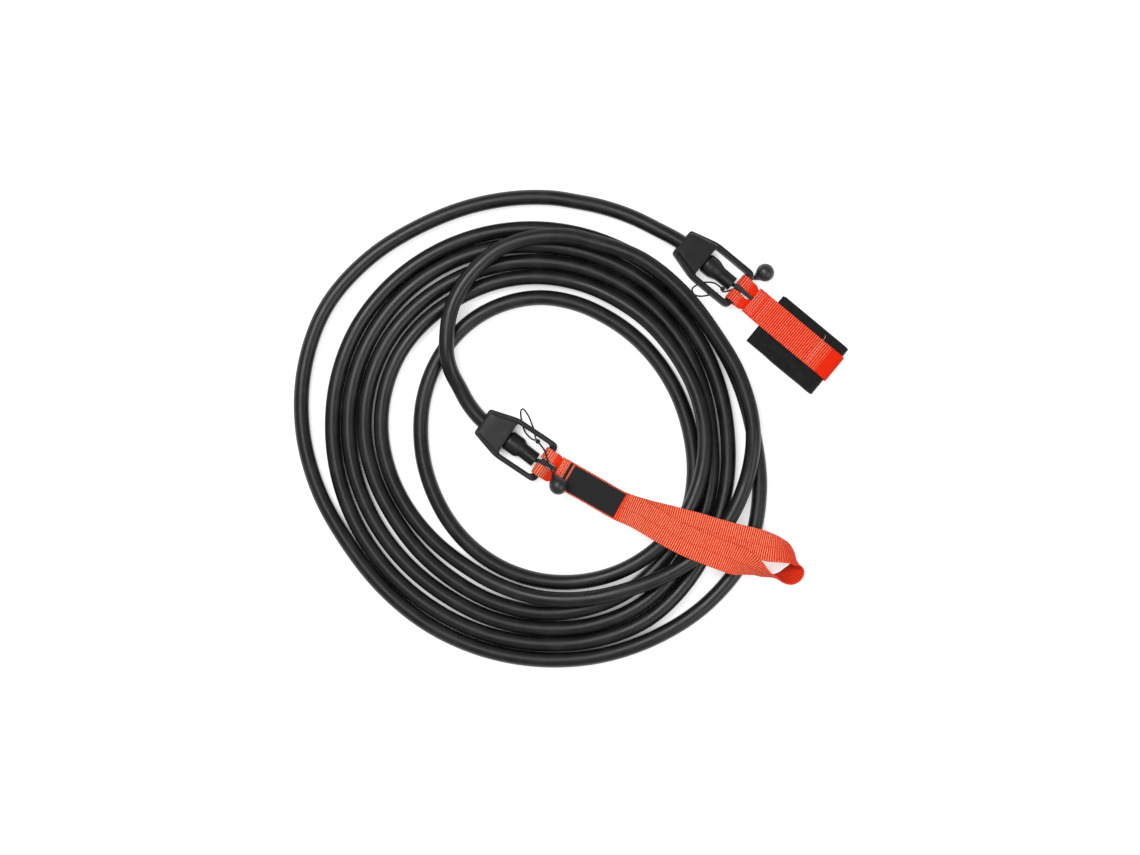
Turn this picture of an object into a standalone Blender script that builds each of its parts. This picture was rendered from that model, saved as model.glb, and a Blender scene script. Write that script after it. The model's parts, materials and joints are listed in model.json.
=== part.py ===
"""Stationary swim tether: a rubber hose with a safety cord inside, coiled flat.

Each end of the hose runs through the head of a plastic connector and is swelled by a plug, so it
can't pull back. One connector carries a webbing hand loop, the other a hook-and-loop ankle cuff.
Lengths are in metres, +Z is up, and the tether lies on the plane z = 0. The origin is under the
middle of the two end fittings. A connector's own frame has X along the hose axis from the back of
the head towards the crossbar, Y across it and Z out of its upper face.
"""

import math

import bmesh
import bpy
from mathutils import Matrix, Vector

MM = 0.001

# Clearances shared by all pieces
GAP = 0.3 * MM
CUT_OVERRUN = 1.0 * MM
MERGE_DISTANCE = 0.01 * MM

# Hose and the safety cord inside it
HOSE_DIAMETER = 12.7 * MM
HOSE_BORE_DIAMETER = 6.0 * MM
SAFETY_CORD_DIAMETER = 3.5 * MM
HOSE_RADIUS = HOSE_DIAMETER / 2
STRAND_GAP = 0.8 * MM
LEAST_SELF_GAP = 0.4 * MM
CROSSING_GAP = 1.3 * MM

# The coil: radius of the hose's middle line every 30 degrees, one row a turn, counter-clockwise.
# The first row starts at COIL_START_DEG, and the others at 0 degrees.
COIL_CENTRE = (-101.3 * MM, -20.2 * MM)
COIL_START_DEG = 90
COIL_STATION_DEG = 30
COIL_POINT_DEG = 15
COIL_POINTS = 144
COIL_RADII_MM = (
    (195.8, 198.8, 206.7, 197.9, 185.4, 185.8, 190.0, 196.7, 199.6),
    (177.9, 166.2, 166.4, 169.6, 173.3, 175.8, 173.3, 171.7, 172.5, 176.7, 180.4, 167.6),
    (156.3, 152.8, 153.2, 155.4, 160.8, 162.1, 160.0, 157.1, 157.5, 164.2, 167.1, 154.6),
    (142.1, 139.8, 140.6, 142.2, 145.4, 148.3, 146.7, 141.3, 143.3, 150.8, 151.7, 141.3),
    (125.0, 114.6, 110.8, 112.1, 109.2, 103.3, 99.6, 102.5, 112.1, 123.8, 133.8, 138.8),
    (136.7, 130.0, 127.9, 129.6, 130.8, 134.2, 132.5, 127.9, 127.9, 137.9, 150.0, 170.8),
    (176.7, 166.0, 165.4, 162.0),
)
SIDE_BY_SIDE = 12.0 * MM
HUMP_FALL = 4.2 * MM

# Free stretch from the coil's outer end to connector B, as places of its middle line.
LEAD_ROUTE_MM = (
    (-87.6, 174.8, 6.4),
    (-74.1, 172.6, 6.4),
    (-50.9, 167.9, 6.7),
    (-25.2, 159.2, 8.3),
    (-3.8, 148.6, 10.2),
)

# Free stretch from the coil's inner end over the loops to connector A.
TAIL_ROUTE_MM = (
    (-73.1, 141.4, 20.1),
    (-88.8, 142.4, 20.4),
    (-105.4, 141.0, 20.4),
    (-122.1, 136.9, 20.4),
    (-134.6, 131.4, 20.4),
    (-151.3, 118.1, 20.4),
    (-165.4, 101.0, 20.4),
    (-175.0, 80.6, 20.4),
    (-178.3, 60.6, 20.4),
    (-177.9, 40.6, 19.0),
    (-174.2, 28.2, 14.6),
    (-168.0, 16.2, 11.1),
    (-162.2, 5.2, 9.4),
)
ROUTE_STEP = 2 * HOSE_DIAMETER
END_STRAIGHT = 12.0 * MM

# Webbing
WEBBING_WIDTH = 25.0 * MM
WEBBING_THICKNESS = 1.6 * MM
WEBBING_SIDE_ROOM = 2.2 * MM
PLY_STEP = WEBBING_THICKNESS + GAP

# Hose end inside the connector, and the plug that swells it
PLUG_DIAMETER = 13.8 * MM
PLUG_CONE_LENGTH = 2.4 * MM
PLUG_HOLE_ROOM = 0.45 * MM
PLUG_NOSE_WALL = 0.3 * MM
PLUG_HOLE_DIAMETER = SAFETY_CORD_DIAMETER + 2 * PLUG_HOLE_ROOM
PLUG_NOSE_DIAMETER = PLUG_HOLE_DIAMETER + 2 * PLUG_NOSE_WALL
HOSE_STRETCHED_WALL = 1.55 * MM
HOSE_BULGE_DIAMETER = PLUG_DIAMETER + 2 * (GAP + HOSE_STRETCHED_WALL)
HOSE_BULGE_LENGTH = 14.4 * MM
HOSE_BULGE_ROUND = 2.2 * MM
HOSE_END_STICKS_OUT = 1.5 * MM

# Connector: outline of the head and legs, seen from above
HEAD_LENGTH = 26.0 * MM
HEAD_BACK_WIDTH = 24.0 * MM
LEG_WALL = 4.3 * MM
LEG_CORNER = 5.6 * MM
LEG_END_ROOM = 0.7 * MM
LEG_END_REACH = 0.8 * MM
WINDOW_CORNER = 2.6 * MM
CONNECTOR_WIDTH = WEBBING_WIDTH + 2 * (WEBBING_SIDE_ROOM + LEG_WALL)
WIDEST_INSET = 1.5 * MM
CONNECTOR_LENGTH = 66.0 * MM
FRAME_THICKNESS = 9.0 * MM
FRAME_EDGE_ROUND = 1.0 * MM
FACE_PLATE_PROUD = 0.25 * MM
FACE_PLATE_THICKNESS = HOSE_BULGE_DIAMETER + 2 * FACE_PLATE_PROUD
FACE_PLATE_BACK_INSET = 1.6 * MM
FACE_PLATE_FRONT_INSET = 0.3 * MM
FACE_PLATE_BACK_MARGIN = 1.5 * MM
FACE_PLATE_FRONT_MARGIN = 2.8 * MM
FACE_PLATE_CHAMFER = 1.8 * MM
BORE_CLEARANCE = 0.35 * MM
CROSSBAR_DIAMETER = 6.0 * MM
CROSSBAR_INSET = 4.0 * MM
CROSSBAR_PLACE = CONNECTOR_LENGTH - CROSSBAR_INSET
HOSE_BULGE_GAP = 0.6 * MM
HOSE_BULGE_START = HEAD_LENGTH + HOSE_BULGE_GAP
HOSE_END_ROOM = 7.4 * MM
HOSE_END_PLACE = CROSSBAR_PLACE - HOSE_END_ROOM

# Slot in the webbing over the crossbar, for the safety cord
WRAP_SLOT_ROOM = 0.45 * MM
WRAP_SLOT_WIDTH = SAFETY_CORD_DIAMETER + 2 * WRAP_SLOT_ROOM
WRAP_SLOT_REACH = 10.0 * MM

# Connector A, in the coil, with the hand loop
PLACE_A = (-149.6 * MM, -11.05 * MM)
HEADING_A_DEG = -33.7
ROLL_A_DEG = 0.0

# The hand strap, measured from its crossbar's axis
NECK_END = 68.0 * MM
LOOP_PLY_START = 20.0 * MM
LABEL_START = 24.0 * MM
LABEL_LENGTH = 48.4 * MM
LABEL_MARGIN = 1.3 * MM
LABEL_WIDTH = WEBBING_WIDTH - 2 * LABEL_MARGIN
LABEL_THICKNESS = 0.8 * MM
STRAP_DRIFT_SLOPE_SHARE = 0.072

# The hand loop after the label: middle line in webbing widths along the strap from the crossbar and
# across it, height over the floor in hose diameters, and the direction of the strap's own width.
LOOP_PLACE_SHARES = (
    (2.91, 0.22, 0.53, -0.08, 1.00, 0.00),
    (3.68, 0.41, 1.32, -0.22, 0.98, 0.00),
    (4.44, 0.69, 2.17, -0.31, 0.95, 0.00),
    (5.21, 0.96, 2.24, -0.33, 0.94, 0.00),
    (6.47, 1.36, 2.24, -0.33, 0.94, 0.00),
    (7.24, 1.64, 2.02, -0.33, 0.94, 0.00),
    (7.85, 1.82, 1.76, -0.40, 0.91, -0.10),
    (8.24, 1.93, 1.58, -0.49, 0.84, -0.24),
    (8.54, 1.96, 1.36, -0.60, 0.74, -0.32),
    (8.78, 1.93, 1.05, -0.70, 0.60, -0.40),
    (8.90, 1.76, 0.88, -0.70, 0.48, -0.54),
    (8.92, 1.55, 0.91, -0.56, 0.41, -0.72),
    (8.83, 1.33, 1.00, -0.38, 0.36, -0.84),
    (8.67, 1.18, 1.10, -0.22, 0.22, -0.95),
    (8.48, 1.07, 1.18, 0.02, 0.00, -1.00),
    (8.22, 0.98, 1.32, 0.19, -0.16, -0.97),
    (7.91, 0.94, 1.54, 0.35, -0.34, -0.87),
    (7.51, 0.90, 1.92, 0.42, -0.60, -0.68),
    (7.05, 0.82, 2.30, 0.40, -0.88, -0.26),
    (6.23, 0.64, 2.44, 0.28, -0.96, 0.00),
    (5.40, 0.47, 2.44, 0.16, -0.99, 0.00),
    (4.68, 0.39, 2.42, 0.10, -1.00, 0.00),
    (4.02, 0.35, 2.02, 0.10, -1.00, 0.00),
    (3.52, 0.31, 1.52, 0.09, -1.00, 0.00),
    (2.91, 0.22, 1.03, 0.08, -1.00, 0.00),
)
LOOP_ROWS_PER_STATION = 3

# Connector B, outside the coil, with the cuff
PLACE_B = (16.25 * MM, 137.9 * MM)
HEADING_B_DEG = -39.7
ROLL_B_DEG = -10.0

# The cuff, measured from its crossbar's axis
CUFF_START = 33.5 * MM
CUFF_END = 104.5 * MM
CUFF_WIDTH = 49.0 * MM
CUFF_OFFSET = -4.0 * MM
CUFF_BAND_THICKNESS = 2.2 * MM
CUFF_ROOM = 5.6 * MM
CUFF_PLY_END = 30.0 * MM
CUFF_UNTWIST_END = 22.0 * MM
CUFF_FOLD_TAIL = 3.0 * MM
FLAP_JOINT_PLACE = 94.0 * MM
FLAP_REST_HEIGHT = 1.3 * MM
FLAP_BELLY_START = 60.0 * MM
FLAP_BELLY_END = 78.0 * MM
FLAP_PINCH_END = 51.0 * MM
HOOK_PATCH_THICKNESS = 1.2 * MM
HOOK_PATCH_LENGTH = 18.0 * MM
HOOK_PATCH_INSET = 1.0 * MM

# Toggles: a ball with a neck on a thin cord that is knotted round one leg of the connector
BALL_DIAMETER = 15.0 * MM
NECK_DIAMETER = 4.6 * MM
BALL_NECK_LENGTH = 3.0 * MM
NECK_ROOT_DIAMETER = 9.0 * MM
TOGGLE_CORD_DIAMETER = 1.4 * MM
KNOT_SIZE_SHARE = 2.1

# Places of the toggle pieces in the connector's own frame
BALL_A_PLACE_MM = (82.6, -9.4, 12.4)
LEASH_A_ROUTE_MM = (
    (67.6, 0.2, 6.4),
    (63.4, 3.2, 5.9),
    (60.6, 5.8, 5.8),
    (57.2, 8.4, 6.2),
    (52.0, 10.4, 6.6),
    (49.4, 11.3, 6.6),
    (48.2, 11.6, 6.4),
    (47.0, 11.9, 6.2),
)
LEASH_A_KNOT_POINTS = (5, 6, 7)
LEG_LOOP_A_ROUTE_MM = (
    (44.6, 13.4, 6.6),
    (42.0, 16.4, 6.2),
    (36.5, 20.6, 5.6),
    (29.1, 25.4, 4.2),
    (22.9, 27.3, 1.0),
    (22.2, 24.8, -3.4),
    (25.3, 20.4, -6.0),
    (30.5, 15.4, -6.2),
    (35.0, 12.2, -3.4),
    (39.4, 11.0, 1.6),
    (43.0, 10.6, 4.8),
)
BALL_B_PLACE_MM = (69.5, 27.6, 1.3)
LEASH_B_ROUTE_MM = (
    (65.6, 16.0, -6.0),
    (63.6, 11.0, -7.4),
    (60.0, 3.0, -8.6),
    (56.0, -4.6, -8.2),
    (53.4, -8.6, -5.0),
    (52.6, -9.6, 0.6),
    (52.4, -9.7, 4.2),
    (51.6, -9.8, 5.6),
    (50.2, -9.9, 6.0),
    (48.0, -10.0, 6.0),
    (44.0, -10.4, 6.2),
    (38.4, -13.6, 6.0),
    (33.2, -20.4, 5.6),
    (32.0, -25.9, 3.4),
    (35.3, -27.4, 0.0),
    (40.2, -24.9, -4.0),
    (44.2, -20.5, -6.2),
    (48.4, -14.6, -6.2),
    (50.4, -12.4, -4.0),
)
LEASH_B_KNOT_POINTS = (6, 7, 8)

# Safety cord's end over the crossbar, into the webbing
CORD_END_ARC_START_DEG = 168
CORD_END_ARC_END_DEG = 50
CORD_END_ARC_STEPS = 8
CORD_END_PLACE = 12.0 * MM

# Stitching thread laid on the webbing as a zigzag
THREAD_DIAMETER = 0.7 * MM
STITCH_PITCH = 2.6 * MM
STITCH_MARGIN = 2.0 * MM
STITCH_BAND_A = (21.2 * MM, 22.8 * MM)
STITCH_BAND_B_INNER = (20.0 * MM, 28.0 * MM)
STITCH_BAND_B_OUTER = (78.0 * MM, 90.0 * MM)

# Finishes: colour, roughness
FINISHES = {
    "rubber": ((0.012, 0.012, 0.013), 0.55),
    "moulded_plastic": ((0.018, 0.018, 0.019), 0.42),
    "plug_plastic": ((0.05, 0.05, 0.055), 0.5),
    "cord": ((0.02, 0.02, 0.02), 0.8),
    "webbing": ((0.85, 0.07, 0.02), 0.75),
    "label": ((0.02, 0.02, 0.022), 0.7),
    "thread": ((0.9, 0.16, 0.03), 0.6),
    "tape": ((0.015, 0.015, 0.016), 0.9),
}


def add_collection(name):
    """Make a collection in the scene."""
    collection = bpy.data.collections.new(name)
    bpy.context.scene.collection.children.link(collection)
    return collection


def finish_of(piece, finish):
    """Give the piece its own material with the named finish."""
    colour, roughness = FINISHES[finish]
    material = bpy.data.materials.new(piece.name + "_" + finish)
    material.use_nodes = True
    shader = material.node_tree.nodes["Principled BSDF"]
    shader.inputs["Base Color"].default_value = (*colour, 1.0)
    shader.inputs["Roughness"].default_value = roughness
    piece.data.materials.clear()
    piece.data.materials.append(material)


def add_piece(name, data, collection, place=Matrix(), finish=None):
    """Put data in the scene as one named object."""
    piece = bpy.data.objects.new(name, data)
    collection.objects.link(piece)
    piece.matrix_world = place
    if finish:
        finish_of(piece, finish)
    return piece


def as_cutter(piece):
    """Hide a cutter from renders and show it as wire."""
    piece.hide_render = True
    piece.display_type = "WIRE"
    return piece


def cut(piece, tool, operation="DIFFERENCE"):
    """Cut the tool out of the piece, or join it on."""
    modifier = piece.modifiers.new(operation.lower() + "_" + tool.name, "BOOLEAN")
    modifier.operation = operation
    modifier.solver = "EXACT"
    modifier.object = tool


def round_edges(piece, width, segments=2):
    """Round the piece's sharp edges."""
    modifier = piece.modifiers.new("edges", "BEVEL")
    modifier.width = width
    modifier.segments = segments
    modifier.limit_method = "ANGLE"


def tube_curve(name, points, diameter, resolution, swellings=None):
    """A round tube along points, as a curve with filled caps."""
    curve = bpy.data.curves.new(name, "CURVE")
    curve.dimensions = "3D"
    curve.bevel_depth = diameter / 2
    curve.bevel_resolution = resolution
    curve.use_fill_caps = True
    spline = curve.splines.new("POLY")
    spline.points.add(len(points) - 1)
    for number, (target, point) in enumerate(zip(spline.points, points)):
        target.co = (*point, 1.0)
        if swellings and number in swellings:
            target.radius = KNOT_SIZE_SHARE
    return curve


def solid_from_curve(name, curve, collection, place=Matrix()):
    """Turn a curve into a welded mesh object and remove the curve object."""
    source = bpy.data.objects.new(name + "_curve", curve)
    collection.objects.link(source)
    source.matrix_world = place
    bpy.context.view_layer.update()
    evaluated = source.evaluated_get(bpy.context.evaluated_depsgraph_get())
    mesh = bpy.data.meshes.new_from_object(evaluated)
    shape = bmesh.new()
    shape.from_mesh(mesh)
    bmesh.ops.remove_doubles(shape, verts=shape.verts, dist=MERGE_DISTANCE)
    bmesh.ops.recalc_face_normals(shape, faces=shape.faces)
    shape.to_mesh(mesh)
    shape.free()
    mesh.name = name
    piece = bpy.data.objects.new(name, mesh)
    collection.objects.link(piece)
    piece.matrix_world = source.matrix_world
    bpy.data.objects.remove(source)
    return piece


def flat_solid(name, outline, thickness, collection, place):
    """A flat plate of the outline, with its middle plane at z = 0."""
    curve = bpy.data.curves.new(name, "CURVE")
    curve.dimensions = "2D"
    curve.fill_mode = "BOTH"
    curve.extrude = thickness / 2
    spline = curve.splines.new("POLY")
    spline.points.add(len(outline) - 1)
    for target, (along, across) in zip(spline.points, outline):
        target.co = (along, across, 0.0, 1.0)
    spline.use_cyclic_u = True
    piece = solid_from_curve(name, curve, collection, place)
    shape = bmesh.new()
    shape.from_mesh(piece.data)
    bmesh.ops.dissolve_limit(shape, angle_limit=math.radians(1.0), verts=shape.verts, edges=shape.edges)
    shape.to_mesh(piece.data)
    shape.free()
    return piece


def turned_solid(name, profile, steps, collection, place):
    """A turned piece from (radius, height) points, about the place's Z axis.

    The profile runs down the outer side, and back up the inner side where the piece has a hole.
    """
    hollow = all(radius > 0 for radius, height in profile)
    mesh = bpy.data.meshes.new(name)
    rows = [(radius, 0.0, height) for radius, height in profile]
    edges = [(number, number + 1) for number in range(len(rows) - 1)]
    if hollow:
        edges.append((len(rows) - 1, 0))
    mesh.from_pydata(rows, edges, [])
    piece = add_piece(name, mesh, collection, place)
    screw = piece.modifiers.new("turn", "SCREW")
    screw.axis = "Z"
    screw.steps = steps
    screw.render_steps = steps
    screw.use_merge_vertices = True
    screw.merge_threshold = MERGE_DISTANCE
    screw.use_smooth_shade = True
    return piece


def strip_solid(name, rows, thickness, collection, place, finish):
    """A strap of the thickness between pairs of edge points."""
    corners = [point for row in rows for point in row]
    count = len(rows[0])
    faces = []
    for row in range(len(rows) - 1):
        for column in range(count - 1):
            first = row * count + column
            faces.append((first, first + count, first + count + 1, first + 1))
    mesh = bpy.data.meshes.new(name)
    mesh.from_pydata(corners, [], faces)
    piece = add_piece(name, mesh, collection, place, finish)
    shell = piece.modifiers.new("thickness", "SOLIDIFY")
    shell.thickness = thickness
    shell.offset = 0.0
    shell.use_even_offset = True
    return piece


def box(name, low, high, collection, place):
    """A box from its low corner to its high corner."""
    shape = bmesh.new()
    bmesh.ops.create_cube(shape, size=1.0)
    for vertex in shape.verts:
        for axis in range(3):
            middle = (low[axis] + high[axis]) / 2
            vertex.co[axis] = middle + vertex.co[axis] * (high[axis] - low[axis])
    mesh = bpy.data.meshes.new(name)
    shape.to_mesh(mesh)
    shape.free()
    return add_piece(name, mesh, collection, place)


def curve_through(points, step):
    """Points at about the given step along a smooth curve through the points."""
    points = [Vector(point) for point in points]
    padded = [2 * points[0] - points[1]] + points + [2 * points[-1] - points[-2]]
    fine = []
    samples = 16
    for number in range(1, len(padded) - 2):
        before, start, end, after = padded[number - 1:number + 3]
        for sample in range(samples):
            fine.append(smooth_between(before, start, end, after, sample / samples))
    fine.append(points[-1])
    lengths = [0.0]
    for start, end in zip(fine, fine[1:]):
        lengths.append(lengths[-1] + (end - start).length)
    count = max(2, round(lengths[-1] / step))
    result = []
    for number in range(count + 1):
        wanted = lengths[-1] * number / count
        index = max(i for i, length in enumerate(lengths) if length <= wanted or i == 0)
        index = min(index, len(fine) - 2)
        share = (wanted - lengths[index]) / (lengths[index + 1] - lengths[index])
        result.append(fine[index].lerp(fine[index + 1], share))
    return result


def smooth_between(before, start, end, after, share):
    """One value on the smooth curve from start to end."""
    pull = (end - before) / 2
    push = (after - start) / 2
    square = share * share
    cube = square * share
    return (start * (2 * cube - 3 * square + 1) + pull * (cube - 2 * square + share)
            + end * (3 * square - 2 * cube) + push * (cube - square))


def coil_radius(angle_deg):
    """Radius of the hose's middle line at an angle counted on from the first turn."""
    stations = [radius * MM for row in COIL_RADII_MM for radius in row]
    position = (angle_deg - COIL_START_DEG) / COIL_STATION_DEG
    index = min(int(position), len(stations) - 2)
    before = stations[max(index - 1, 0)]
    after = stations[min(index + 2, len(stations) - 1)]
    return smooth_between(before, stations[index], stations[index + 1], after, position - index)


def room_along_radius(radii, number, room):
    """A room across the hose, measured along the radius, where the hose slants to the circle."""
    first, last = max(number - 1, 0), min(number + 1, len(radii) - 1)
    run = radii[number] * math.radians(COIL_POINT_DEG) * (last - first)
    return room * math.hypot(1.0, (radii[last] - radii[first]) / run)


def settled_radii(radii):
    """The coil's radii with each turn moved off the earlier turns that it lies beside.

    Turns whose listed radii differ by less than SIDE_BY_SIDE cross there, and stay where they are.
    """
    points_per_turn = 360 // COIL_POINT_DEG
    beside = HOSE_DIAMETER + STRAND_GAP
    settled = []
    for number, radius in enumerate(radii):
        place = radius
        for earlier in range(number % points_per_turn, number, points_per_turn):
            apart = radius - radii[earlier]
            clear = max(room_along_radius(radii, turn, beside) for turn in (earlier, number))
            if abs(apart) >= SIDE_BY_SIDE and abs(place - settled[earlier]) < clear:
                place = settled[earlier] + math.copysign(clear, apart)
        settled.append(place)
    return settled


def coil_heights(radii):
    """Height of each coil point: every turn rests on the floor or on the turns laid before it.

    A hump rises and falls by no more than HUMP_FALL from one point to the next.
    """
    points_per_turn = 360 // COIL_POINT_DEG
    beside = HOSE_DIAMETER + STRAND_GAP
    pitch = HOSE_DIAMETER + CROSSING_GAP
    heights = []
    for number, radius in enumerate(radii):
        height = HOSE_RADIUS
        if heights:
            height = max(height, heights[-1] - HUMP_FALL)
        for earlier in range(number - points_per_turn, -1, -points_per_turn):
            apart = abs(radius - radii[earlier])
            if apart < beside:
                height = max(height, heights[earlier] + math.sqrt(pitch ** 2 - apart ** 2))
        heights.append(height)
        for back in range(1, min(number, points_per_turn // 2) + 1):
            heights[number - back] = max(heights[number - back], height - HUMP_FALL * back)
    return heights


def coil_points():
    """The coil's middle line, one point every COIL_POINT_DEG."""
    angles = [COIL_START_DEG + COIL_POINT_DEG * number for number in range(COIL_POINTS)]
    radii = settled_radii([coil_radius(angle) for angle in angles])
    heights = coil_heights(radii)
    points = []
    for angle, radius, height in zip(angles, radii, heights):
        turn = math.radians(angle)
        along = COIL_CENTRE[0] + radius * math.cos(turn)
        across = COIL_CENTRE[1] + radius * math.sin(turn)
        points.append(Vector((along, across, height)))
    return points


def least_gap_to_itself(points, diameter):
    """Least free distance between stretches of the tube that lie more than a quarter turn apart."""
    least = None
    apart = 90 // COIL_POINT_DEG
    for first in range(len(points) - 1):
        for second in range(first + apart, len(points) - 1):
            distance = segment_distance(points[first], points[first + 1],
                                        points[second], points[second + 1])
            if least is None or distance < least:
                least = distance
    return least - diameter


def segment_distance(start_a, end_a, start_b, end_b):
    """Least distance between two segments, measured on points along them."""
    samples = 6
    least = None
    for step_a in range(samples + 1):
        point = start_a.lerp(end_a, step_a / samples)
        along = end_b - start_b
        share = (point - start_b).dot(along) / along.length_squared
        share = min(max(share, 0.0), 1.0)
        distance = (point - start_b.lerp(end_b, share)).length
        if least is None or distance < least:
            least = distance
    return least


def axis_height(roll_deg):
    """Height of the hose axis over the floor when the connector rests on its face plate."""
    roll = math.radians(abs(roll_deg))
    half_width = CONNECTOR_WIDTH / 2 - FACE_PLATE_FRONT_MARGIN - FACE_PLATE_CHAMFER
    return half_width * math.sin(roll) + FACE_PLATE_THICKNESS / 2 * math.cos(roll)


def connector_place(place, heading_deg, roll_deg):
    """Matrix of a connector's own frame."""
    height = axis_height(roll_deg)
    heading = Matrix.Rotation(math.radians(heading_deg), 4, "Z")
    roll = Matrix.Rotation(math.radians(roll_deg), 4, "X")
    return Matrix.Translation((*place, height)) @ heading @ roll


def level_place(place, heading_deg, roll_deg):
    """The same frame without the roll, for straps that lie flat."""
    height = axis_height(roll_deg)
    heading = Matrix.Rotation(math.radians(heading_deg), 4, "Z")
    return Matrix.Translation((*place, height)) @ heading


def along_axis(place):
    """Frame for turned pieces whose Z runs along the connector's X."""
    return place @ Matrix.Rotation(math.radians(90), 4, "Y")


def connector_outline():
    """Outline of the head with its two legs, as (along, across) points."""
    half_back = HEAD_BACK_WIDTH / 2
    half_wide = CONNECTOR_WIDTH / 2
    inner = half_wide - LEG_WALL
    inner_end = WEBBING_WIDTH / 2 + LEG_END_ROOM
    side = [
        (0.0, half_back),
        (HEAD_LENGTH - WIDEST_INSET, half_wide),
        (CONNECTOR_LENGTH - LEG_CORNER, half_wide),
        (CONNECTOR_LENGTH, half_wide - LEG_CORNER),
        (CONNECTOR_LENGTH, inner_end),
        (CROSSBAR_PLACE - CROSSBAR_DIAMETER / 3, inner_end),
        (CROSSBAR_PLACE - 3 * CROSSBAR_DIAMETER / 4, inner),
        (HEAD_LENGTH + WINDOW_CORNER, inner),
        (HEAD_LENGTH, inner - WINDOW_CORNER),
    ]
    other = [(along, -across) for along, across in reversed(side)]
    return side + other


def face_plate_outline():
    """Outline of the raised face plate on the head."""
    half_back = HEAD_BACK_WIDTH / 2 - FACE_PLATE_BACK_MARGIN
    half_front = CONNECTOR_WIDTH / 2 - FACE_PLATE_FRONT_MARGIN
    start = FACE_PLATE_BACK_INSET
    end = HEAD_LENGTH - FACE_PLATE_FRONT_INSET
    return [(start, half_back), (end, half_front), (end, -half_front), (start, -half_back)]


def make_connector(letter, place, parts, cutters):
    """Moulded frame: head with a bore, two legs and the crossbar between them."""
    frame = flat_solid("connector_" + letter, connector_outline(), FRAME_THICKNESS, parts, place)
    finish_of(frame, "moulded_plastic")
    round_edges(frame, FRAME_EDGE_ROUND)
    plate = flat_solid("face_plate_" + letter, face_plate_outline(), FACE_PLATE_THICKNESS,
                       cutters, place)
    round_edges(plate, FACE_PLATE_CHAMFER, segments=1)
    cut(frame, as_cutter(plate), "UNION")
    reach = WEBBING_WIDTH / 2 + LEG_END_ROOM + LEG_END_REACH
    bar = rod("crossbar_" + letter, (CROSSBAR_PLACE, -reach, 0.0), (CROSSBAR_PLACE, reach, 0.0),
              CROSSBAR_DIAMETER, cutters, place)
    cut(frame, as_cutter(bar), "UNION")
    bore = rod("bore_" + letter, (-CUT_OVERRUN, 0.0, 0.0), (HEAD_LENGTH + CUT_OVERRUN, 0.0, 0.0),
               HOSE_DIAMETER + 2 * BORE_CLEARANCE, cutters, place)
    cut(frame, as_cutter(bore))
    return frame


def rod(name, start, end, diameter, collection, place, sides=24):
    """A cylinder from start to end in the place's frame."""
    start = Vector(start)
    end = Vector(end)
    along = end - start
    shape = bmesh.new()
    bmesh.ops.create_cone(shape, cap_ends=True, segments=sides, radius1=diameter / 2,
                          radius2=diameter / 2, depth=along.length)
    turn = Vector((0.0, 0.0, 1.0)).rotation_difference(along).to_matrix().to_4x4()
    bmesh.ops.transform(shape, matrix=Matrix.Translation((start + end) / 2) @ turn, verts=shape.verts)
    mesh = bpy.data.meshes.new(name)
    shape.to_mesh(mesh)
    shape.free()
    return add_piece(name, mesh, collection, place)


def make_hose_end(letter, place, parts):
    """Hose end through the head: swelled over the plug, then plain to its cut face."""
    start = -HOSE_END_STICKS_OUT
    bulge_end = HOSE_BULGE_START + HOSE_BULGE_LENGTH
    outer = HOSE_RADIUS
    bulge = HOSE_BULGE_DIAMETER / 2
    bore = HOSE_BORE_DIAMETER / 2
    room = PLUG_DIAMETER / 2 + GAP
    rounding = HOSE_BULGE_ROUND
    profile = [
        (outer, HOSE_END_PLACE),
        (outer, bulge_end + rounding),
        (bulge - rounding / 2, bulge_end),
        (bulge, bulge_end - rounding),
        (bulge, HOSE_BULGE_START + rounding),
        (bulge - rounding / 2, HOSE_BULGE_START + rounding / 4),
        (outer, HOSE_BULGE_START),
        (outer, start),
        (bore, start),
        (bore, HOSE_BULGE_START),
        (room, HOSE_BULGE_START + PLUG_CONE_LENGTH),
        (room, bulge_end - PLUG_CONE_LENGTH),
        (bore, bulge_end),
        (bore, HOSE_END_PLACE),
    ]
    piece = turned_solid("hose_end_" + letter, profile, 24, parts, along_axis(place))
    finish_of(piece, "rubber")
    return piece


def make_plug(letter, place, parts):
    """Barrel plug with a hole for the safety cord."""
    first = HOSE_BULGE_START + GAP
    last = HOSE_BULGE_START + HOSE_BULGE_LENGTH - GAP
    cone = PLUG_CONE_LENGTH
    barrel = PLUG_DIAMETER / 2
    nose = PLUG_NOSE_DIAMETER / 2
    hole = PLUG_HOLE_DIAMETER / 2
    profile = [(nose, last), (barrel, last - cone), (barrel, first + cone), (nose, first),
               (hole, first), (hole, last)]
    piece = turned_solid("plug_" + letter, profile, 24, parts, along_axis(place))
    finish_of(piece, "plug_plastic")
    return piece


def hose_routes():
    """Middle lines of the coil, the lead to connector B and the tail to connector A."""
    coil = coil_points()
    place_a = connector_place(PLACE_A, HEADING_A_DEG, ROLL_A_DEG)
    place_b = connector_place(PLACE_B, HEADING_B_DEG, ROLL_B_DEG)
    lead = [coil[0]] + [Vector(point) * MM for point in LEAD_ROUTE_MM]
    lead += straight_end(place_b)
    tail = [coil[-1]] + [Vector(point) * MM for point in TAIL_ROUTE_MM]
    tail += straight_end(place_a)
    lead = curve_through(lead, ROUTE_STEP)
    tail = curve_through(tail, ROUTE_STEP)
    face = -HOSE_END_STICKS_OUT - GAP
    for route, place in ((lead, place_b), (tail, place_a)):
        route[-1] = place @ Vector((face - END_STRAIGHT, 0.0, 0.0))
        route.append(place @ Vector((face, 0.0, 0.0)))
    square_start(lead, coil[0], coil[0] - coil[1])
    square_start(tail, coil[-1], coil[-1] - coil[-2])
    return coil, lead, tail


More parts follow.
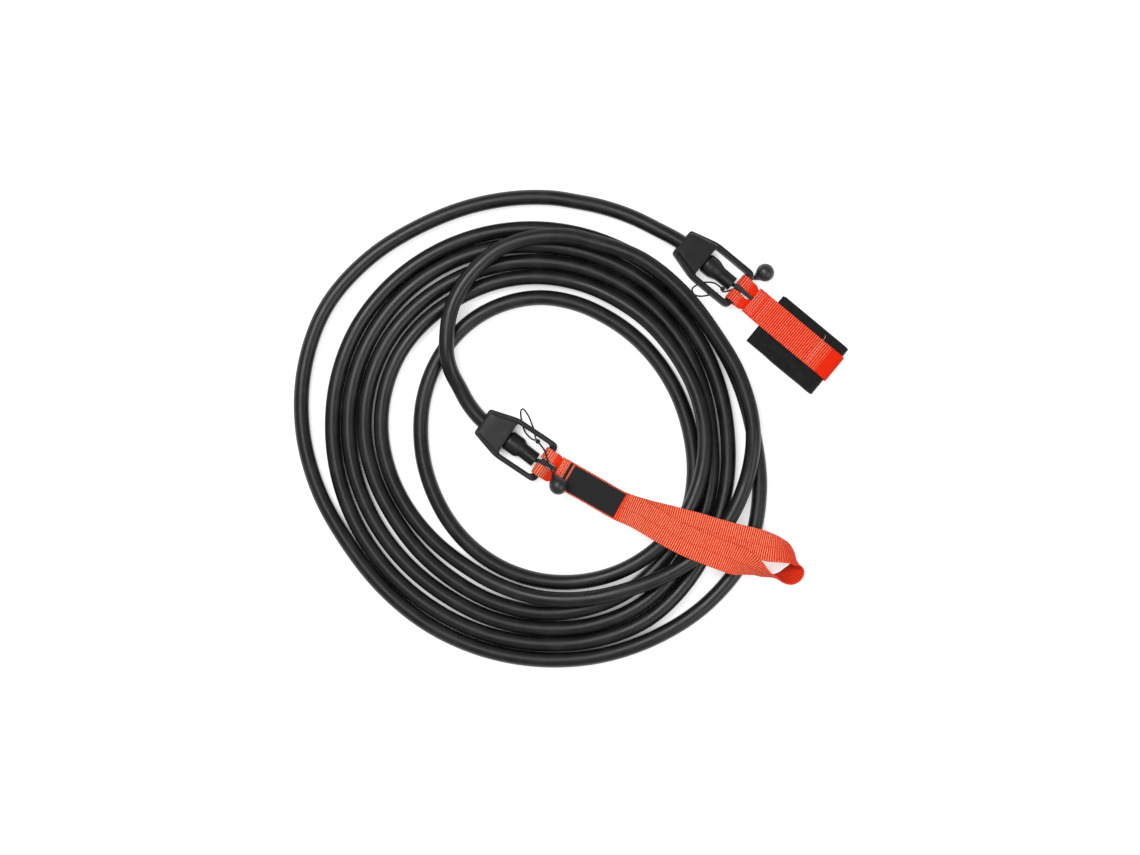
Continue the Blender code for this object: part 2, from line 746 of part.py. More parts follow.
def straight_end(place):
    """Last place of a free stretch, before it runs straight into the connector."""
    face = -HOSE_END_STICKS_OUT - GAP
    return [place @ Vector((face - END_STRAIGHT, 0.0, 0.0))]


def square_start(route, face, direction):
    """Start a free stretch face to face with the coil's end."""
    direction = direction.normalized()
    route[0] = face + direction * GAP
    route.insert(1, face + direction * END_STRAIGHT)
    if (route[2] - route[1]).length < END_STRAIGHT:
        del route[2]


def extended(points, overrun):
    """The same middle line, longer at both ends."""
    first = (points[0] - points[1]).normalized() * overrun
    last = (points[-1] - points[-2]).normalized() * overrun
    return [points[0] + first] + points[1:-1] + [points[-1] + last]


def make_hose(parts, cutters):
    """Coil, lead and tail of the hose, bored for the safety cord, and the cord itself."""
    coil, lead, tail = hose_routes()
    for name, points, resolution in (("hose_coil", coil, 1), ("hose_lead", lead, 2),
                                     ("hose_tail", tail, 2)):
        curve = tube_curve(name, points, HOSE_DIAMETER, resolution)
        hose = solid_from_curve(name, curve, parts)
        finish_of(hose, "rubber")
        core = tube_curve(name + "_bore", extended(points, CUT_OVERRUN), HOSE_BORE_DIAMETER, 1)
        cut(hose, as_cutter(solid_from_curve(name + "_bore", core, cutters)))
    make_safety_cord(coil, lead, tail, parts)
    gap = least_gap_to_itself(coil, HOSE_DIAMETER)
    print("least gap of the coil to itself: %.2f mm" % (gap / MM))
    if gap < LEAST_SELF_GAP:
        print("the coil's turns lie closer than they should")


def make_safety_cord(coil, lead, tail, parts):
    """One unbroken cord through the whole hose and both plugs."""
    place_a = connector_place(PLACE_A, HEADING_A_DEG, ROLL_A_DEG)
    place_b = connector_place(PLACE_B, HEADING_B_DEG, ROLL_B_DEG)
    end = Vector((HOSE_END_PLACE, 0.0, 0.0))
    points = [place_b @ end] + lead[::-1][:-1] + coil[1:-1] + tail[1:] + [place_a @ end]
    curve = tube_curve("safety_cord", points, SAFETY_CORD_DIAMETER, 1)
    add_piece("safety_cord", curve, parts, finish="cord")


def make_ball(letter, ball_mm, route_mm, place, parts):
    """Toggle ball with a short conical neck, pointing towards its leash."""
    centre = Vector(ball_mm) * MM
    direction = (Vector(route_mm[0]) * MM - centre).normalized()
    radius = BALL_DIAMETER / 2
    root = NECK_ROOT_DIAMETER / 2
    meet = math.acos(root / radius)
    steps = 9
    profile = [(NECK_DIAMETER / 2, radius + BALL_NECK_LENGTH)]
    for step in range(steps):
        turn = meet - (meet + math.pi / 2) * step / steps
        profile.append((radius * math.cos(turn), radius * math.sin(turn)))
    profile = [(0.0, radius + BALL_NECK_LENGTH)] + profile + [(0.0, -radius)]
    turn = Vector((0.0, 0.0, 1.0)).rotation_difference(direction).to_matrix().to_4x4()
    ball = turned_solid("toggle_ball_" + letter, profile, 16, parts,
                        place @ Matrix.Translation(centre) @ turn)
    finish_of(ball, "moulded_plastic")
    return ball, centre + direction * (radius + BALL_NECK_LENGTH + GAP)


def make_toggles(place_a, place_b, parts):
    """Both toggle balls with their thin cords; gives back those that lie on the hand strap."""
    ball_a, neck_a = make_ball("a", BALL_A_PLACE_MM, LEASH_A_ROUTE_MM, place_a, parts)
    leash = [neck_a] + [Vector(point) * MM for point in LEASH_A_ROUTE_MM]
    knot = {number + 1 for number in LEASH_A_KNOT_POINTS[:-1]}
    curve = tube_curve("toggle_leash_a", leash, TOGGLE_CORD_DIAMETER, 2, knot)
    leash_a = add_piece("toggle_leash_a", curve, parts, place_a, "cord")
    loop = [Vector(point) * MM for point in LEG_LOOP_A_ROUTE_MM]
    curve = tube_curve("toggle_loop_a", loop, TOGGLE_CORD_DIAMETER, 2)
    add_piece("toggle_loop_a", curve, parts, place_a, "cord")
    ball_b, neck_b = make_ball("b", BALL_B_PLACE_MM, LEASH_B_ROUTE_MM, place_b, parts)
    leash = [neck_b] + [Vector(point) * MM for point in LEASH_B_ROUTE_MM]
    knot = {number + 1 for number in LEASH_B_KNOT_POINTS[:-1]}
    curve = tube_curve("toggle_cord_b", leash, TOGGLE_CORD_DIAMETER, 2, knot)
    add_piece("toggle_cord_b", curve, parts, place_b, "cord")
    return [ball_a, leash_a]


def level(along):
    """No rise, roll or drift along a strap."""
    return 0.0


def wrap_path(end):
    """Webbing's middle line round the crossbar, from its lower end to its upper end."""
    radius = CROSSBAR_DIAMETER / 2 + GAP + WEBBING_THICKNESS / 2
    close = PLY_STEP / 2
    meet = 2 * radius
    middle = (end + meet) / 2
    path = [(end, -close), (middle, -close), (meet, -close)]
    steps = 12
    for step in range(steps + 1):
        turn = math.radians(-60 - 240 * step / steps)
        path.append((radius * math.cos(turn), radius * math.sin(turn)))
    return path + [(meet, close), (middle, close), (end, close)]


def strap_rows(path, width, roll_of, drift_of):
    """Edge points of a strap along a path in the connector's upright plane."""
    rows = []
    for along, height in path:
        roll = roll_of(along)
        row = []
        for share in (-0.5, 0.0, 0.5):
            across = width * share
            side = across * math.cos(roll) - height * math.sin(roll)
            lift = across * math.sin(roll) + height * math.cos(roll)
            row.append(Vector((along, side + drift_of(along), lift)))
        rows.append(row)
    return rows


def drift_a(along):
    """Sideways drift of the hand strap, which lies a little skew to its connector."""
    return max(along - CROSSBAR_DIAMETER, 0.0) * STRAP_DRIFT_SLOPE_SHARE


def slot_the_wrap(name, webbing, place, cutters):
    """Slot across the crossbar that the safety cord lies in."""
    reach = WRAP_SLOT_REACH
    half = WRAP_SLOT_WIDTH / 2
    slot = box(name, (-reach, -half, -reach), (reach, half, reach), cutters, place)
    cut(webbing, as_cutter(slot))


def make_hand_strap(place, parts, cutters):
    """Neck round crossbar A, the hand loop sewn over it, the label and its stitches."""
    rows = strap_rows(wrap_path(NECK_END), WEBBING_WIDTH, level, drift_a)
    neck = strip_solid("neck_webbing", rows, WEBBING_THICKNESS, parts, place, "webbing")
    slot_the_wrap("slot_a", neck, place, cutters)
    strip_solid("hand_loop", hand_loop_rows(), WEBBING_THICKNESS, parts, place, "webbing")
    top = PLY_STEP * 3 / 2 + WEBBING_THICKNESS / 2 + GAP
    make_label(place, top, parts)
    make_stitches("stitching_a", STITCH_BAND_A, top, drift_a, place, parts)


def hand_loop_rows():
    """Edge points of the hand loop, from its lower ply under the label round to its upper ply."""
    ply = PLY_STEP * 3 / 2
    floor = axis_height(ROLL_A_DEG)
    stations = []
    for along, across, height, *side in LOOP_PLACE_SHARES:
        middle = Vector((along * WEBBING_WIDTH, across * WEBBING_WIDTH,
                         height * HOSE_DIAMETER - floor))
        stations.append((middle, Vector(side).normalized()))
    across = Vector((0.0, 1.0, 0.0))
    label_end = LABEL_START + LABEL_LENGTH
    flat = [LOOP_PLY_START, LABEL_START, (LABEL_START + label_end) / 2, label_end]
    rows = []
    for along in flat:
        rows.append((Vector((along, drift_a(along), -ply)), across))
    rows += smooth_stations(stations)[1:-1]
    for along in reversed(flat):
        rows.append((Vector((along, drift_a(along), ply)), -across))
    half = WEBBING_WIDTH / 2
    return [[middle - side * half, middle, middle + side * half] for middle, side in rows]


def smooth_stations(stations):
    """More rows between the stations, on a smooth curve through them."""
    result = []
    last = len(stations) - 1
    for number in range(last):
        near = [stations[min(max(number + step, 0), last)] for step in (-1, 0, 1, 2)]
        for sample in range(LOOP_ROWS_PER_STATION):
            share = sample / LOOP_ROWS_PER_STATION
            middle = smooth_between(*[station[0] for station in near], share)
            side = smooth_between(*[station[1] for station in near], share)
            result.append((middle, side.normalized()))
    result.append(stations[-1])
    return result


def make_label(place, top, parts):
    """Label sewn on the upper ply, a little narrower than the webbing."""
    height = top + LABEL_THICKNESS / 2
    path = [(LABEL_START, height), (LABEL_START + LABEL_LENGTH, height)]
    rows = strap_rows(path, LABEL_WIDTH, level, drift_a)
    strip_solid("label", rows, LABEL_THICKNESS, parts, place, "label")


def make_stitches(name, band, height, drift, place, parts):
    """A zigzag thread across a strap, between two places along it."""
    first, last = band
    reach = WEBBING_WIDTH / 2 - STITCH_MARGIN
    count = int(2 * reach / STITCH_PITCH)
    points = []
    for number in range(count + 1):
        along = first if number % 2 else last
        across = -reach + 2 * reach * number / count
        points.append(Vector((along, across + drift(along), height + THREAD_DIAMETER / 2)))
    curve = tube_curve(name, points, THREAD_DIAMETER, 1)
    add_piece(name, curve, parts, place, "thread")


def make_cord_end(letter, place, drift, parts):
    """Safety cord's end: over the crossbar in the webbing's slot, and down into the webbing."""
    radius = CROSSBAR_DIAMETER / 2 + GAP + SAFETY_CORD_DIAMETER / 2
    points = []
    for step in range(CORD_END_ARC_STEPS + 1):
        share = step / CORD_END_ARC_STEPS
        turn = math.radians(CORD_END_ARC_START_DEG
                            + (CORD_END_ARC_END_DEG - CORD_END_ARC_START_DEG) * share)
        points.append(Vector((radius * math.cos(turn), 0.0, radius * math.sin(turn))))
    end_height = PLY_STEP + SAFETY_CORD_DIAMETER / 2
    points.append(Vector((CORD_END_PLACE, drift(CORD_END_PLACE), end_height)))
    curve = tube_curve("safety_cord_end_" + letter, points, SAFETY_CORD_DIAMETER, 2)
    add_piece("safety_cord_end_" + letter, curve, parts, place, "cord")


def cuff_levels():
    """Heights of the cuff's plies over the floor, as named values."""
    webbing_half = WEBBING_THICKNESS / 2
    band_half = CUFF_BAND_THICKNESS / 2
    low = WEBBING_THICKNESS + 2 * GAP + band_half
    high = low + CUFF_BAND_THICKNESS + CUFF_ROOM
    return {
        "band_low": low,
        "band_high": high,
        "webbing_low": GAP + webbing_half,
        "webbing_high": high + band_half + GAP + webbing_half,
        "patch": high - band_half - GAP - HOOK_PATCH_THICKNESS / 2,
        "flap_end": high - 2 * band_half - 2 * GAP - HOOK_PATCH_THICKNESS,
    }


def fold_path(place, low, high, steps):
    """Half circle from the upper ply round to the lower ply, centred at the place."""
    radius = (high - low) / 2
    middle = (high + low) / 2
    path = []
    for step in range(steps + 1):
        turn = math.pi / 2 - math.pi * step / steps
        path.append((place + radius * math.cos(turn), middle + radius * math.sin(turn)))
    return path


def make_cuff(place, parts, cutters):
    """Webbing round crossbar B and along the cuff, the cuff's band, hook patch and flap."""
    floor = axis_height(ROLL_B_DEG)
    levels = {name: height - floor for name, height in cuff_levels().items()}
    fold_radius = (levels["webbing_high"] - levels["webbing_low"]) / 2
    fold_place = CUFF_END - fold_radius - WEBBING_THICKNESS / 2

    def roll_of(along):
        share = (CUFF_UNTWIST_END - along) / (CUFF_UNTWIST_END - CROSSBAR_DIAMETER)
        return math.radians(ROLL_B_DEG) * min(max(share, 0.0), 1.0)

    def offset(along):
        return CUFF_OFFSET

    top = levels["webbing_high"]
    path = wrap_path(CUFF_PLY_END) + [(CUFF_START, top), ((CUFF_START + fold_place) / 2, top)]
    path += fold_path(fold_place, levels["webbing_low"], top, 10)
    path.append((fold_place - CUFF_FOLD_TAIL, levels["webbing_low"]))
    rows = strap_rows(path, WEBBING_WIDTH, roll_of, level)
    webbing = strip_solid("cuff_webbing", rows, WEBBING_THICKNESS, parts, place, "webbing")
    rolled = place @ Matrix.Rotation(math.radians(ROLL_B_DEG), 4, "X")
    slot_the_wrap("slot_b", webbing, rolled, cutters)

    path = [(CUFF_START, levels["band_high"]), ((CUFF_START + fold_place) / 2, levels["band_high"])]
    path += fold_path(fold_place, levels["band_low"], levels["band_high"], 8)
    path.append((FLAP_JOINT_PLACE + GAP, levels["band_low"]))
    rows = strap_rows(path, CUFF_WIDTH, level, offset)
    strip_solid("cuff_band", rows, CUFF_BAND_THICKNESS, parts, place, "tape")

    start = CUFF_START + HOOK_PATCH_INSET
    path = [(start, levels["patch"]), (start + HOOK_PATCH_LENGTH, levels["patch"])]
    patch_width = CUFF_WIDTH - 2 * HOOK_PATCH_INSET
    rows = strap_rows(path, patch_width, level, offset)
    strip_solid("hook_patch", rows, HOOK_PATCH_THICKNESS, parts, place, "tape")
    flap = make_flap(place, levels, floor, parts)
    hinge = Vector((FLAP_JOINT_PLACE, CUFF_OFFSET, levels["band_low"] - CUFF_BAND_THICKNESS / 2))
    hang("hinge_cuff_flap", place @ Matrix.Translation(hinge), [flap], parts)
    make_cuff_stitches(place, levels, parts)


def make_flap(place, levels, floor, parts):
    """Cuff flap: lower ply of the cuff, closed up against the hook patch at its free end."""
    rest = FLAP_REST_HEIGHT - floor
    shape = [
        (FLAP_JOINT_PLACE, levels["band_low"]),
        (FLAP_BELLY_END, rest),
        (FLAP_BELLY_START, rest),
        (FLAP_PINCH_END, levels["flap_end"]),
        (CUFF_START, levels["flap_end"]),
    ]
    path = []
    for number in range(len(shape) - 1):
        start = shape[number]
        end = shape[number + 1]
        for sample in range(4):
            share = sample / 4
            ease = share * share * (3 - 2 * share)
            path.append((start[0] + (end[0] - start[0]) * share,
                         start[1] + (end[1] - start[1]) * ease))
    path.append(shape[-1])
    rows = strap_rows(path, CUFF_WIDTH, level, lambda along: CUFF_OFFSET)
    return strip_solid("cuff_flap", rows, CUFF_BAND_THICKNESS, parts, place, "tape")


def make_cuff_stitches(place, levels, parts):
    """Two stitched bands on the cuff's webbing."""
    half = WEBBING_THICKNESS / 2
    neck_top = PLY_STEP / 2 + half + GAP
    cuff_top = levels["webbing_high"] + half + GAP
    make_stitches("stitching_b_inner", STITCH_BAND_B_INNER, neck_top, level, place, parts)
    make_stitches("stitching_b_outer", STITCH_BAND_B_OUTER, cuff_top, level, place, parts)


def hang(name, place, pieces, parts):
    """Hang pieces on an empty that stands on their joint's axis."""
    hinge = add_piece(name, None, parts, place)
    for piece in pieces:
        piece.parent = hinge
        piece.matrix_parent_inverse = place.inverted()


def clear_scene():
    """Remove what the scene holds."""
    for piece in list(bpy.data.objects):
        bpy.data.objects.remove(piece, do_unlink=True)


def main():
    """Build the whole tether."""
    clear_scene()
    parts = add_collection("swim_tether")
    cutters = add_collection("cutters")
    place_a = connector_place(PLACE_A, HEADING_A_DEG, ROLL_A_DEG)
    place_b = connector_place(PLACE_B, HEADING_B_DEG, ROLL_B_DEG)
    level_b = level_place(PLACE_B, HEADING_B_DEG, ROLL_B_DEG)
    make_hose(parts, cutters)
    for letter, place in (("a", place_a), ("b", place_b)):
        make_connector(letter, place, parts, cutters)
        make_hose_end(letter, place, parts)
        make_plug(letter, place, parts)
    to_crossbar = Matrix.Translation((CROSSBAR_PLACE, 0.0, 0.0))
    toggle = make_toggles(place_a, place_b, parts)
    make_hand_strap(place_a @ to_crossbar, parts, cutters)
    make_cord_end("a", place_a @ to_crossbar, drift_a, parts)
    hang("hinge_hand_strap", place_a @ to_crossbar, toggle, parts)
    make_cuff(level_b @ to_crossbar, parts, cutters)
    make_cord_end("b", place_b @ to_crossbar, level, parts)


main()
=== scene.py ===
"""Stationary swim tether, dressed: hose, moulded connectors, hand loop, ankle cuff and toggles.

Every new piece is a surface on a grid of two parameters, mostly a profile carried along a path,
worked out as whole arrays. Lengths are metres in the part's frame, with +Z up and the floor at
z = 0. A connector's own frame has X along the hose from the back of the head to the crossbar.
"""

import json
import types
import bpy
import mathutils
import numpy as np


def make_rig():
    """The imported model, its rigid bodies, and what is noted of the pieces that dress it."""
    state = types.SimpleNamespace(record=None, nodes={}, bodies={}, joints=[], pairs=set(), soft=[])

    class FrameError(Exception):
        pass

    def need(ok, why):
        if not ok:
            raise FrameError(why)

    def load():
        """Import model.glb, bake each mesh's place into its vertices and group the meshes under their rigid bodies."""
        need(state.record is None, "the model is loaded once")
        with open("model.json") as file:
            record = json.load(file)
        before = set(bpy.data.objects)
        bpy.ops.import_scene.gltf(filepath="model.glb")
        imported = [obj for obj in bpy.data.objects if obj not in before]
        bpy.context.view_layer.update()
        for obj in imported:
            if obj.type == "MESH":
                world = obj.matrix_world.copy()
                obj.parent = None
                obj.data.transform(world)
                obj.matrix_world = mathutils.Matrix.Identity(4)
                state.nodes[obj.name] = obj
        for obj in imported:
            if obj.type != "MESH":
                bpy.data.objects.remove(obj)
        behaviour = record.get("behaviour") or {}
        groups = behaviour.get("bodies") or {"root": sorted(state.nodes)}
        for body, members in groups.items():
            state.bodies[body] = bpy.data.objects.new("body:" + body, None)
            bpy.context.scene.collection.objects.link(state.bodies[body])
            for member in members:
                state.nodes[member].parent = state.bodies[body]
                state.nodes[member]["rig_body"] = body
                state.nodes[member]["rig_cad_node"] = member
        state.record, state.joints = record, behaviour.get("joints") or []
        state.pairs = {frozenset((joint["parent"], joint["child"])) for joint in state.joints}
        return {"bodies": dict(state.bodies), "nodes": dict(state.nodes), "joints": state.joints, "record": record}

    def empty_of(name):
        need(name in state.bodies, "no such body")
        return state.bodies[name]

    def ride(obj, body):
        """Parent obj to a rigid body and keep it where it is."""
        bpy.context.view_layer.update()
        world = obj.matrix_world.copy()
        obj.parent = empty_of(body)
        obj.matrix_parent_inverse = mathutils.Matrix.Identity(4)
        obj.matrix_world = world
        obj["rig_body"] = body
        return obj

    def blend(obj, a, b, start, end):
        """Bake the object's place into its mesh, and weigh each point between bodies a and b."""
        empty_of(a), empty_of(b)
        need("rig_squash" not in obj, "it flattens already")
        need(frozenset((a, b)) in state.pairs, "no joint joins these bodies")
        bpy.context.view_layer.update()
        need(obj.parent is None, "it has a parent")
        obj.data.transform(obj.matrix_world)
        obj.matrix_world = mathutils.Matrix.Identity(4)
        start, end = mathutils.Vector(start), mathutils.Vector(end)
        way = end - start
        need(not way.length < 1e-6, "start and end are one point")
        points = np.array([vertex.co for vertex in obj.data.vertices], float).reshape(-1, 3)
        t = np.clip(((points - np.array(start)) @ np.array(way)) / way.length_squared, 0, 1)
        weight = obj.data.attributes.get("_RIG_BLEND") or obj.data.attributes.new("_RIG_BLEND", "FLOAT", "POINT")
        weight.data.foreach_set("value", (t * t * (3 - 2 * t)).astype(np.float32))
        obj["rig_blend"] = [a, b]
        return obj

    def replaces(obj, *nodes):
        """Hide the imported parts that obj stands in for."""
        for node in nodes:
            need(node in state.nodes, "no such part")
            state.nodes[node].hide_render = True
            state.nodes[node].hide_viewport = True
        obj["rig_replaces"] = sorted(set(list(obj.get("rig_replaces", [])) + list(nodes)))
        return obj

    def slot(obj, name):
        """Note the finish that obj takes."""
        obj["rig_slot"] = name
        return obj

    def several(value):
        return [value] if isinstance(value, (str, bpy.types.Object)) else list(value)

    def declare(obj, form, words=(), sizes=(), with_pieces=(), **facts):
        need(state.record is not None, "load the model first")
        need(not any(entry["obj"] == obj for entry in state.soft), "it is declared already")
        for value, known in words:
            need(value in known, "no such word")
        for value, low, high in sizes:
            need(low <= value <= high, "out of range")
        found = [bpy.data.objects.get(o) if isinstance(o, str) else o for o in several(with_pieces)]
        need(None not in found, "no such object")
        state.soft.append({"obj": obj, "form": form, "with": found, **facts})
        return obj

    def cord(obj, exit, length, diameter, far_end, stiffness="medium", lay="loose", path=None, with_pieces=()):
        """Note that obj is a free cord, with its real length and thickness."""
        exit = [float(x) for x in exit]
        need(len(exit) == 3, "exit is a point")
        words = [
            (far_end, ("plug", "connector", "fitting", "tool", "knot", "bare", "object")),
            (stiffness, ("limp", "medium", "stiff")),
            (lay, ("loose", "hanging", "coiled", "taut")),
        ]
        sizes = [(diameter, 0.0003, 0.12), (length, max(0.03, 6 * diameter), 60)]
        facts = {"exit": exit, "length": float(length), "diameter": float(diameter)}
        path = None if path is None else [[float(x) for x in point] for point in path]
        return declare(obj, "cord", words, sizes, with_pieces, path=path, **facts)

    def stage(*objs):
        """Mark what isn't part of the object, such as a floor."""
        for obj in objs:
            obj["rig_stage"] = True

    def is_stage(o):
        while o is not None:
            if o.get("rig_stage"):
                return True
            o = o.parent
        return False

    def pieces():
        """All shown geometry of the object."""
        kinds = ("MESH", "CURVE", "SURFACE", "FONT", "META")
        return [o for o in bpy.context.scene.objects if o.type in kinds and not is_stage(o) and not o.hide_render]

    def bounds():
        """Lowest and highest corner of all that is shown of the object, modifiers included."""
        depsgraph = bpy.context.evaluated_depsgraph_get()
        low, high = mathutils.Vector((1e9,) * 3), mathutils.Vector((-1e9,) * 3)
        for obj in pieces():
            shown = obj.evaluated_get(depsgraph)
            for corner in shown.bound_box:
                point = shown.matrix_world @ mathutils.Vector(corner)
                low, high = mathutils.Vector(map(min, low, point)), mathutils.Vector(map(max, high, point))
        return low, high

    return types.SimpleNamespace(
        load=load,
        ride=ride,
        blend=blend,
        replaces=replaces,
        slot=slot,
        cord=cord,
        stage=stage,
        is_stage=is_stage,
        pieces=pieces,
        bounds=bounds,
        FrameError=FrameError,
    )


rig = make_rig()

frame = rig.load()
CAD_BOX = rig.bounds()

import json
import logging
import math
from dataclasses import dataclass, field
from enum import Enum
from pathlib import Path
from typing import Callable, Sequence

import bmesh
import bpy
import numpy as np
from mathutils import Matrix
from numpy.typing import NDArray

Array = NDArray[np.float64]
Piece = bpy.types.Object
Material = bpy.types.Material
Socket = bpy.types.NodeSocket
Colour = tuple[float, float, float]
Point = tuple[float, float, float]
Span = tuple[float, float]
Along = Callable[[Array], Array]
Over = Callable[[Array, Array], Array]
Grid = tuple[Array, Array]
MM = 0.001
WELD = 0.002 * MM
PAST_THE_END: Span = (9.0, 9.1)
BEFORE_THE_START: Span = (-1.0, -0.9)
log = logging.getLogger("swim_tether")


class Body(Enum):
    """Moving bodies of the tether."""

    HOSE = "hose"
    CONNECTOR_A = "connector_a"
    HAND_STRAP = "hand_strap"
    CONNECTOR_B = "connector_b"
    ANKLE_CUFF = "ankle_cuff"
    CUFF_FLAP = "cuff_flap"


class Slot(Enum):
    """Material slots of the record that the new pieces take."""

    RUBBER = "rubber"
    MOULDED = "moulded_plastic"
    CORD = "cord"
    WEBBING = "webbing"
    LABEL = "label"
    THREAD = "thread"
    TAPE = "tape"


# Numbers and paths

def unit(vectors: Array) -> Array:
    """Each vector divided by its own length."""
    return vectors / np.maximum(np.linalg.norm(vectors, axis=-1, keepdims=True), 1e-12)


def ease(share: Array) -> Array:
    """Smooth step: 3 t^2 - 2 t^3, with t held between 0 and 1."""
    held = np.clip(share, 0.0, 1.0)
    return held * held * (3.0 - 2.0 * held)


def between(value: Array, start: float, end: float) -> Array:
    """Smooth step of a value from start, where it is 0, to end, where it is 1."""
    return ease((value - start) / (end - start))


def smooth_line(points: Array, samples: int) -> Array:
    """Smooth curve through points, with slopes that unequal spans don't kink.

    The slope m at a point weighs the spans before and after it, of lengths d and e, by each
    other's length: (e v + d w) / (d + e) for their straight slopes v and w. A span from p to q is
    (2 t^3 - 3 t^2 + 1) p + (t^3 - 2 t^2 + t) d m + (3 t^2 - 2 t^3) q + (t^3 - t^2) d n.

    Args:
        points: Points to pass through, one a row; lengths are those of the first three columns.
        samples: Values of t in each span.

    Returns:
        The curve's points, one a row.
    """
    steps = np.diff(points, axis=0)
    size = np.maximum(np.linalg.norm(steps[:, :3], axis=1), 1e-9)[:, None]
    straight = steps / size
    inner = (size[1:] * straight[:-1] + size[:-1] * straight[1:]) / (size[1:] + size[:-1])
    slope = np.vstack([straight[:1], inner, straight[-1:]])
    t = (np.arange(samples) / samples)[None, :, None]
    p, q, m, n = (values[:, None] for values in (points[:-1], points[1:], slope[:-1], slope[1:]))
    spans = ((2 * t ** 3 - 3 * t ** 2 + 1) * p + (3 * t ** 2 - 2 * t ** 3) * q
             + size[:, None] * ((t ** 3 - 2 * t ** 2 + t) * m + (t ** 3 - t ** 2) * n))
    return np.vstack([spans.reshape(-1, points.shape[1]), points[-1:]])


class Route:
    """A smooth middle line, read by the distance along it."""

    def __init__(self, points: Sequence[Sequence[float]] | Array, samples: int = 16) -> None:
        """Lay the curve.

        Args:
            points: Places that it passes through; columns past the third ride along with them.
            samples: Fine points in each span.
        """
        self.line = smooth_line(np.asarray(points, float), samples)
        steps = np.linalg.norm(np.diff(self.line[:, :3], axis=0), axis=1)
        self.run = np.concatenate([[0.0], np.cumsum(steps)])

    @property
    def length(self) -> float:
        """Length of the whole line."""
        return float(self.run[-1])

    def at(self, run: Array) -> Array:
        """Values of the line at the given distances along it."""
        return np.stack([np.interp(run, self.run, column) for column in self.line.T], axis=-1)

    def heading(self, run: Array, reach: float = 1.0 * MM) -> Array:
        """Unit direction of the line, from its places a little before and after.

        Args:
            run: Distances along the line.
            reach: How far before and after.

        Returns:
            One direction for each distance.
        """
        low = np.clip(run - reach, 0.0, self.length)
        high = np.clip(run + reach, 0.0, self.length)
        return unit(self.at(high)[..., :3] - self.at(low)[..., :3])


@dataclass(frozen=True)
class Place:
    """Where a connector's own frame stands: turned by its heading about Z, then rolled about X."""

    x: float
    y: float
    z: float
    heading_deg: float
    roll_deg: float = 0.0

    def turn(self) -> Array:
        """Rotation matrix from the connector's frame to the part's frame.

        Returns:
            The matrix: about Z, times about X.
        """
        head, roll = math.radians(self.heading_deg), math.radians(self.roll_deg)
        about_z = np.array([[math.cos(head), -math.sin(head), 0.0],
                            [math.sin(head), math.cos(head), 0.0], [0.0, 0.0, 1.0]])
        about_x = np.array([[1.0, 0.0, 0.0], [0.0, math.cos(roll), -math.sin(roll)],
                            [0.0, math.sin(roll), math.cos(roll)]])
        return about_z @ about_x

    def put(self, points: Sequence[Sequence[float]] | Array) -> Array:
        """Points of the connector's frame, given in the part's frame."""
        return np.asarray(points, float) @ self.turn().T + np.array([self.x, self.y, self.z])

    def aim(self, vectors: Sequence[Sequence[float]] | Array) -> Array:
        """Directions of the connector's frame, given in the part's frame."""
        return np.asarray(vectors, float) @ self.turn().T

    def spot(self, x: float, y: float = 0.0, z: float = 0.0) -> list[float]:
        """One point of the connector's frame, as plain numbers in the part's frame."""
        return self.put([[x, y, z]])[0].tolist()

    def level(self) -> "Place":
        """The same frame without its roll."""
        return Place(self.x, self.y, self.z, self.heading_deg)


def ripple(along: Array, across: Array, size: float, seed: int) -> Array:
    """Soft unevenness, mostly between -1 and 1: a fifth of the sum of twelve plane waves.

    Args:
        along: First coordinate, in metres.
        across: Second coordinate, in metres.
        size: Typical width of one unevenness, in metres.
        seed: Seed of the waves' directions, phases and pitches.

    Returns:
        The unevenness at each place.
    """
    source = np.random.default_rng(seed)
    turns, phases = source.uniform(0, 2 * math.pi, 12), source.uniform(0, 2 * math.pi, 12)
    pitches = source.uniform(0.6, 1.7, 12) * math.pi / size
    value = sum(np.sin(pitch * (along * math.cos(turn) + across * math.sin(turn)) + phase)
                for turn, phase, pitch in zip(turns, phases, pitches))
    return np.asarray(value) / 5.0


# Meshes

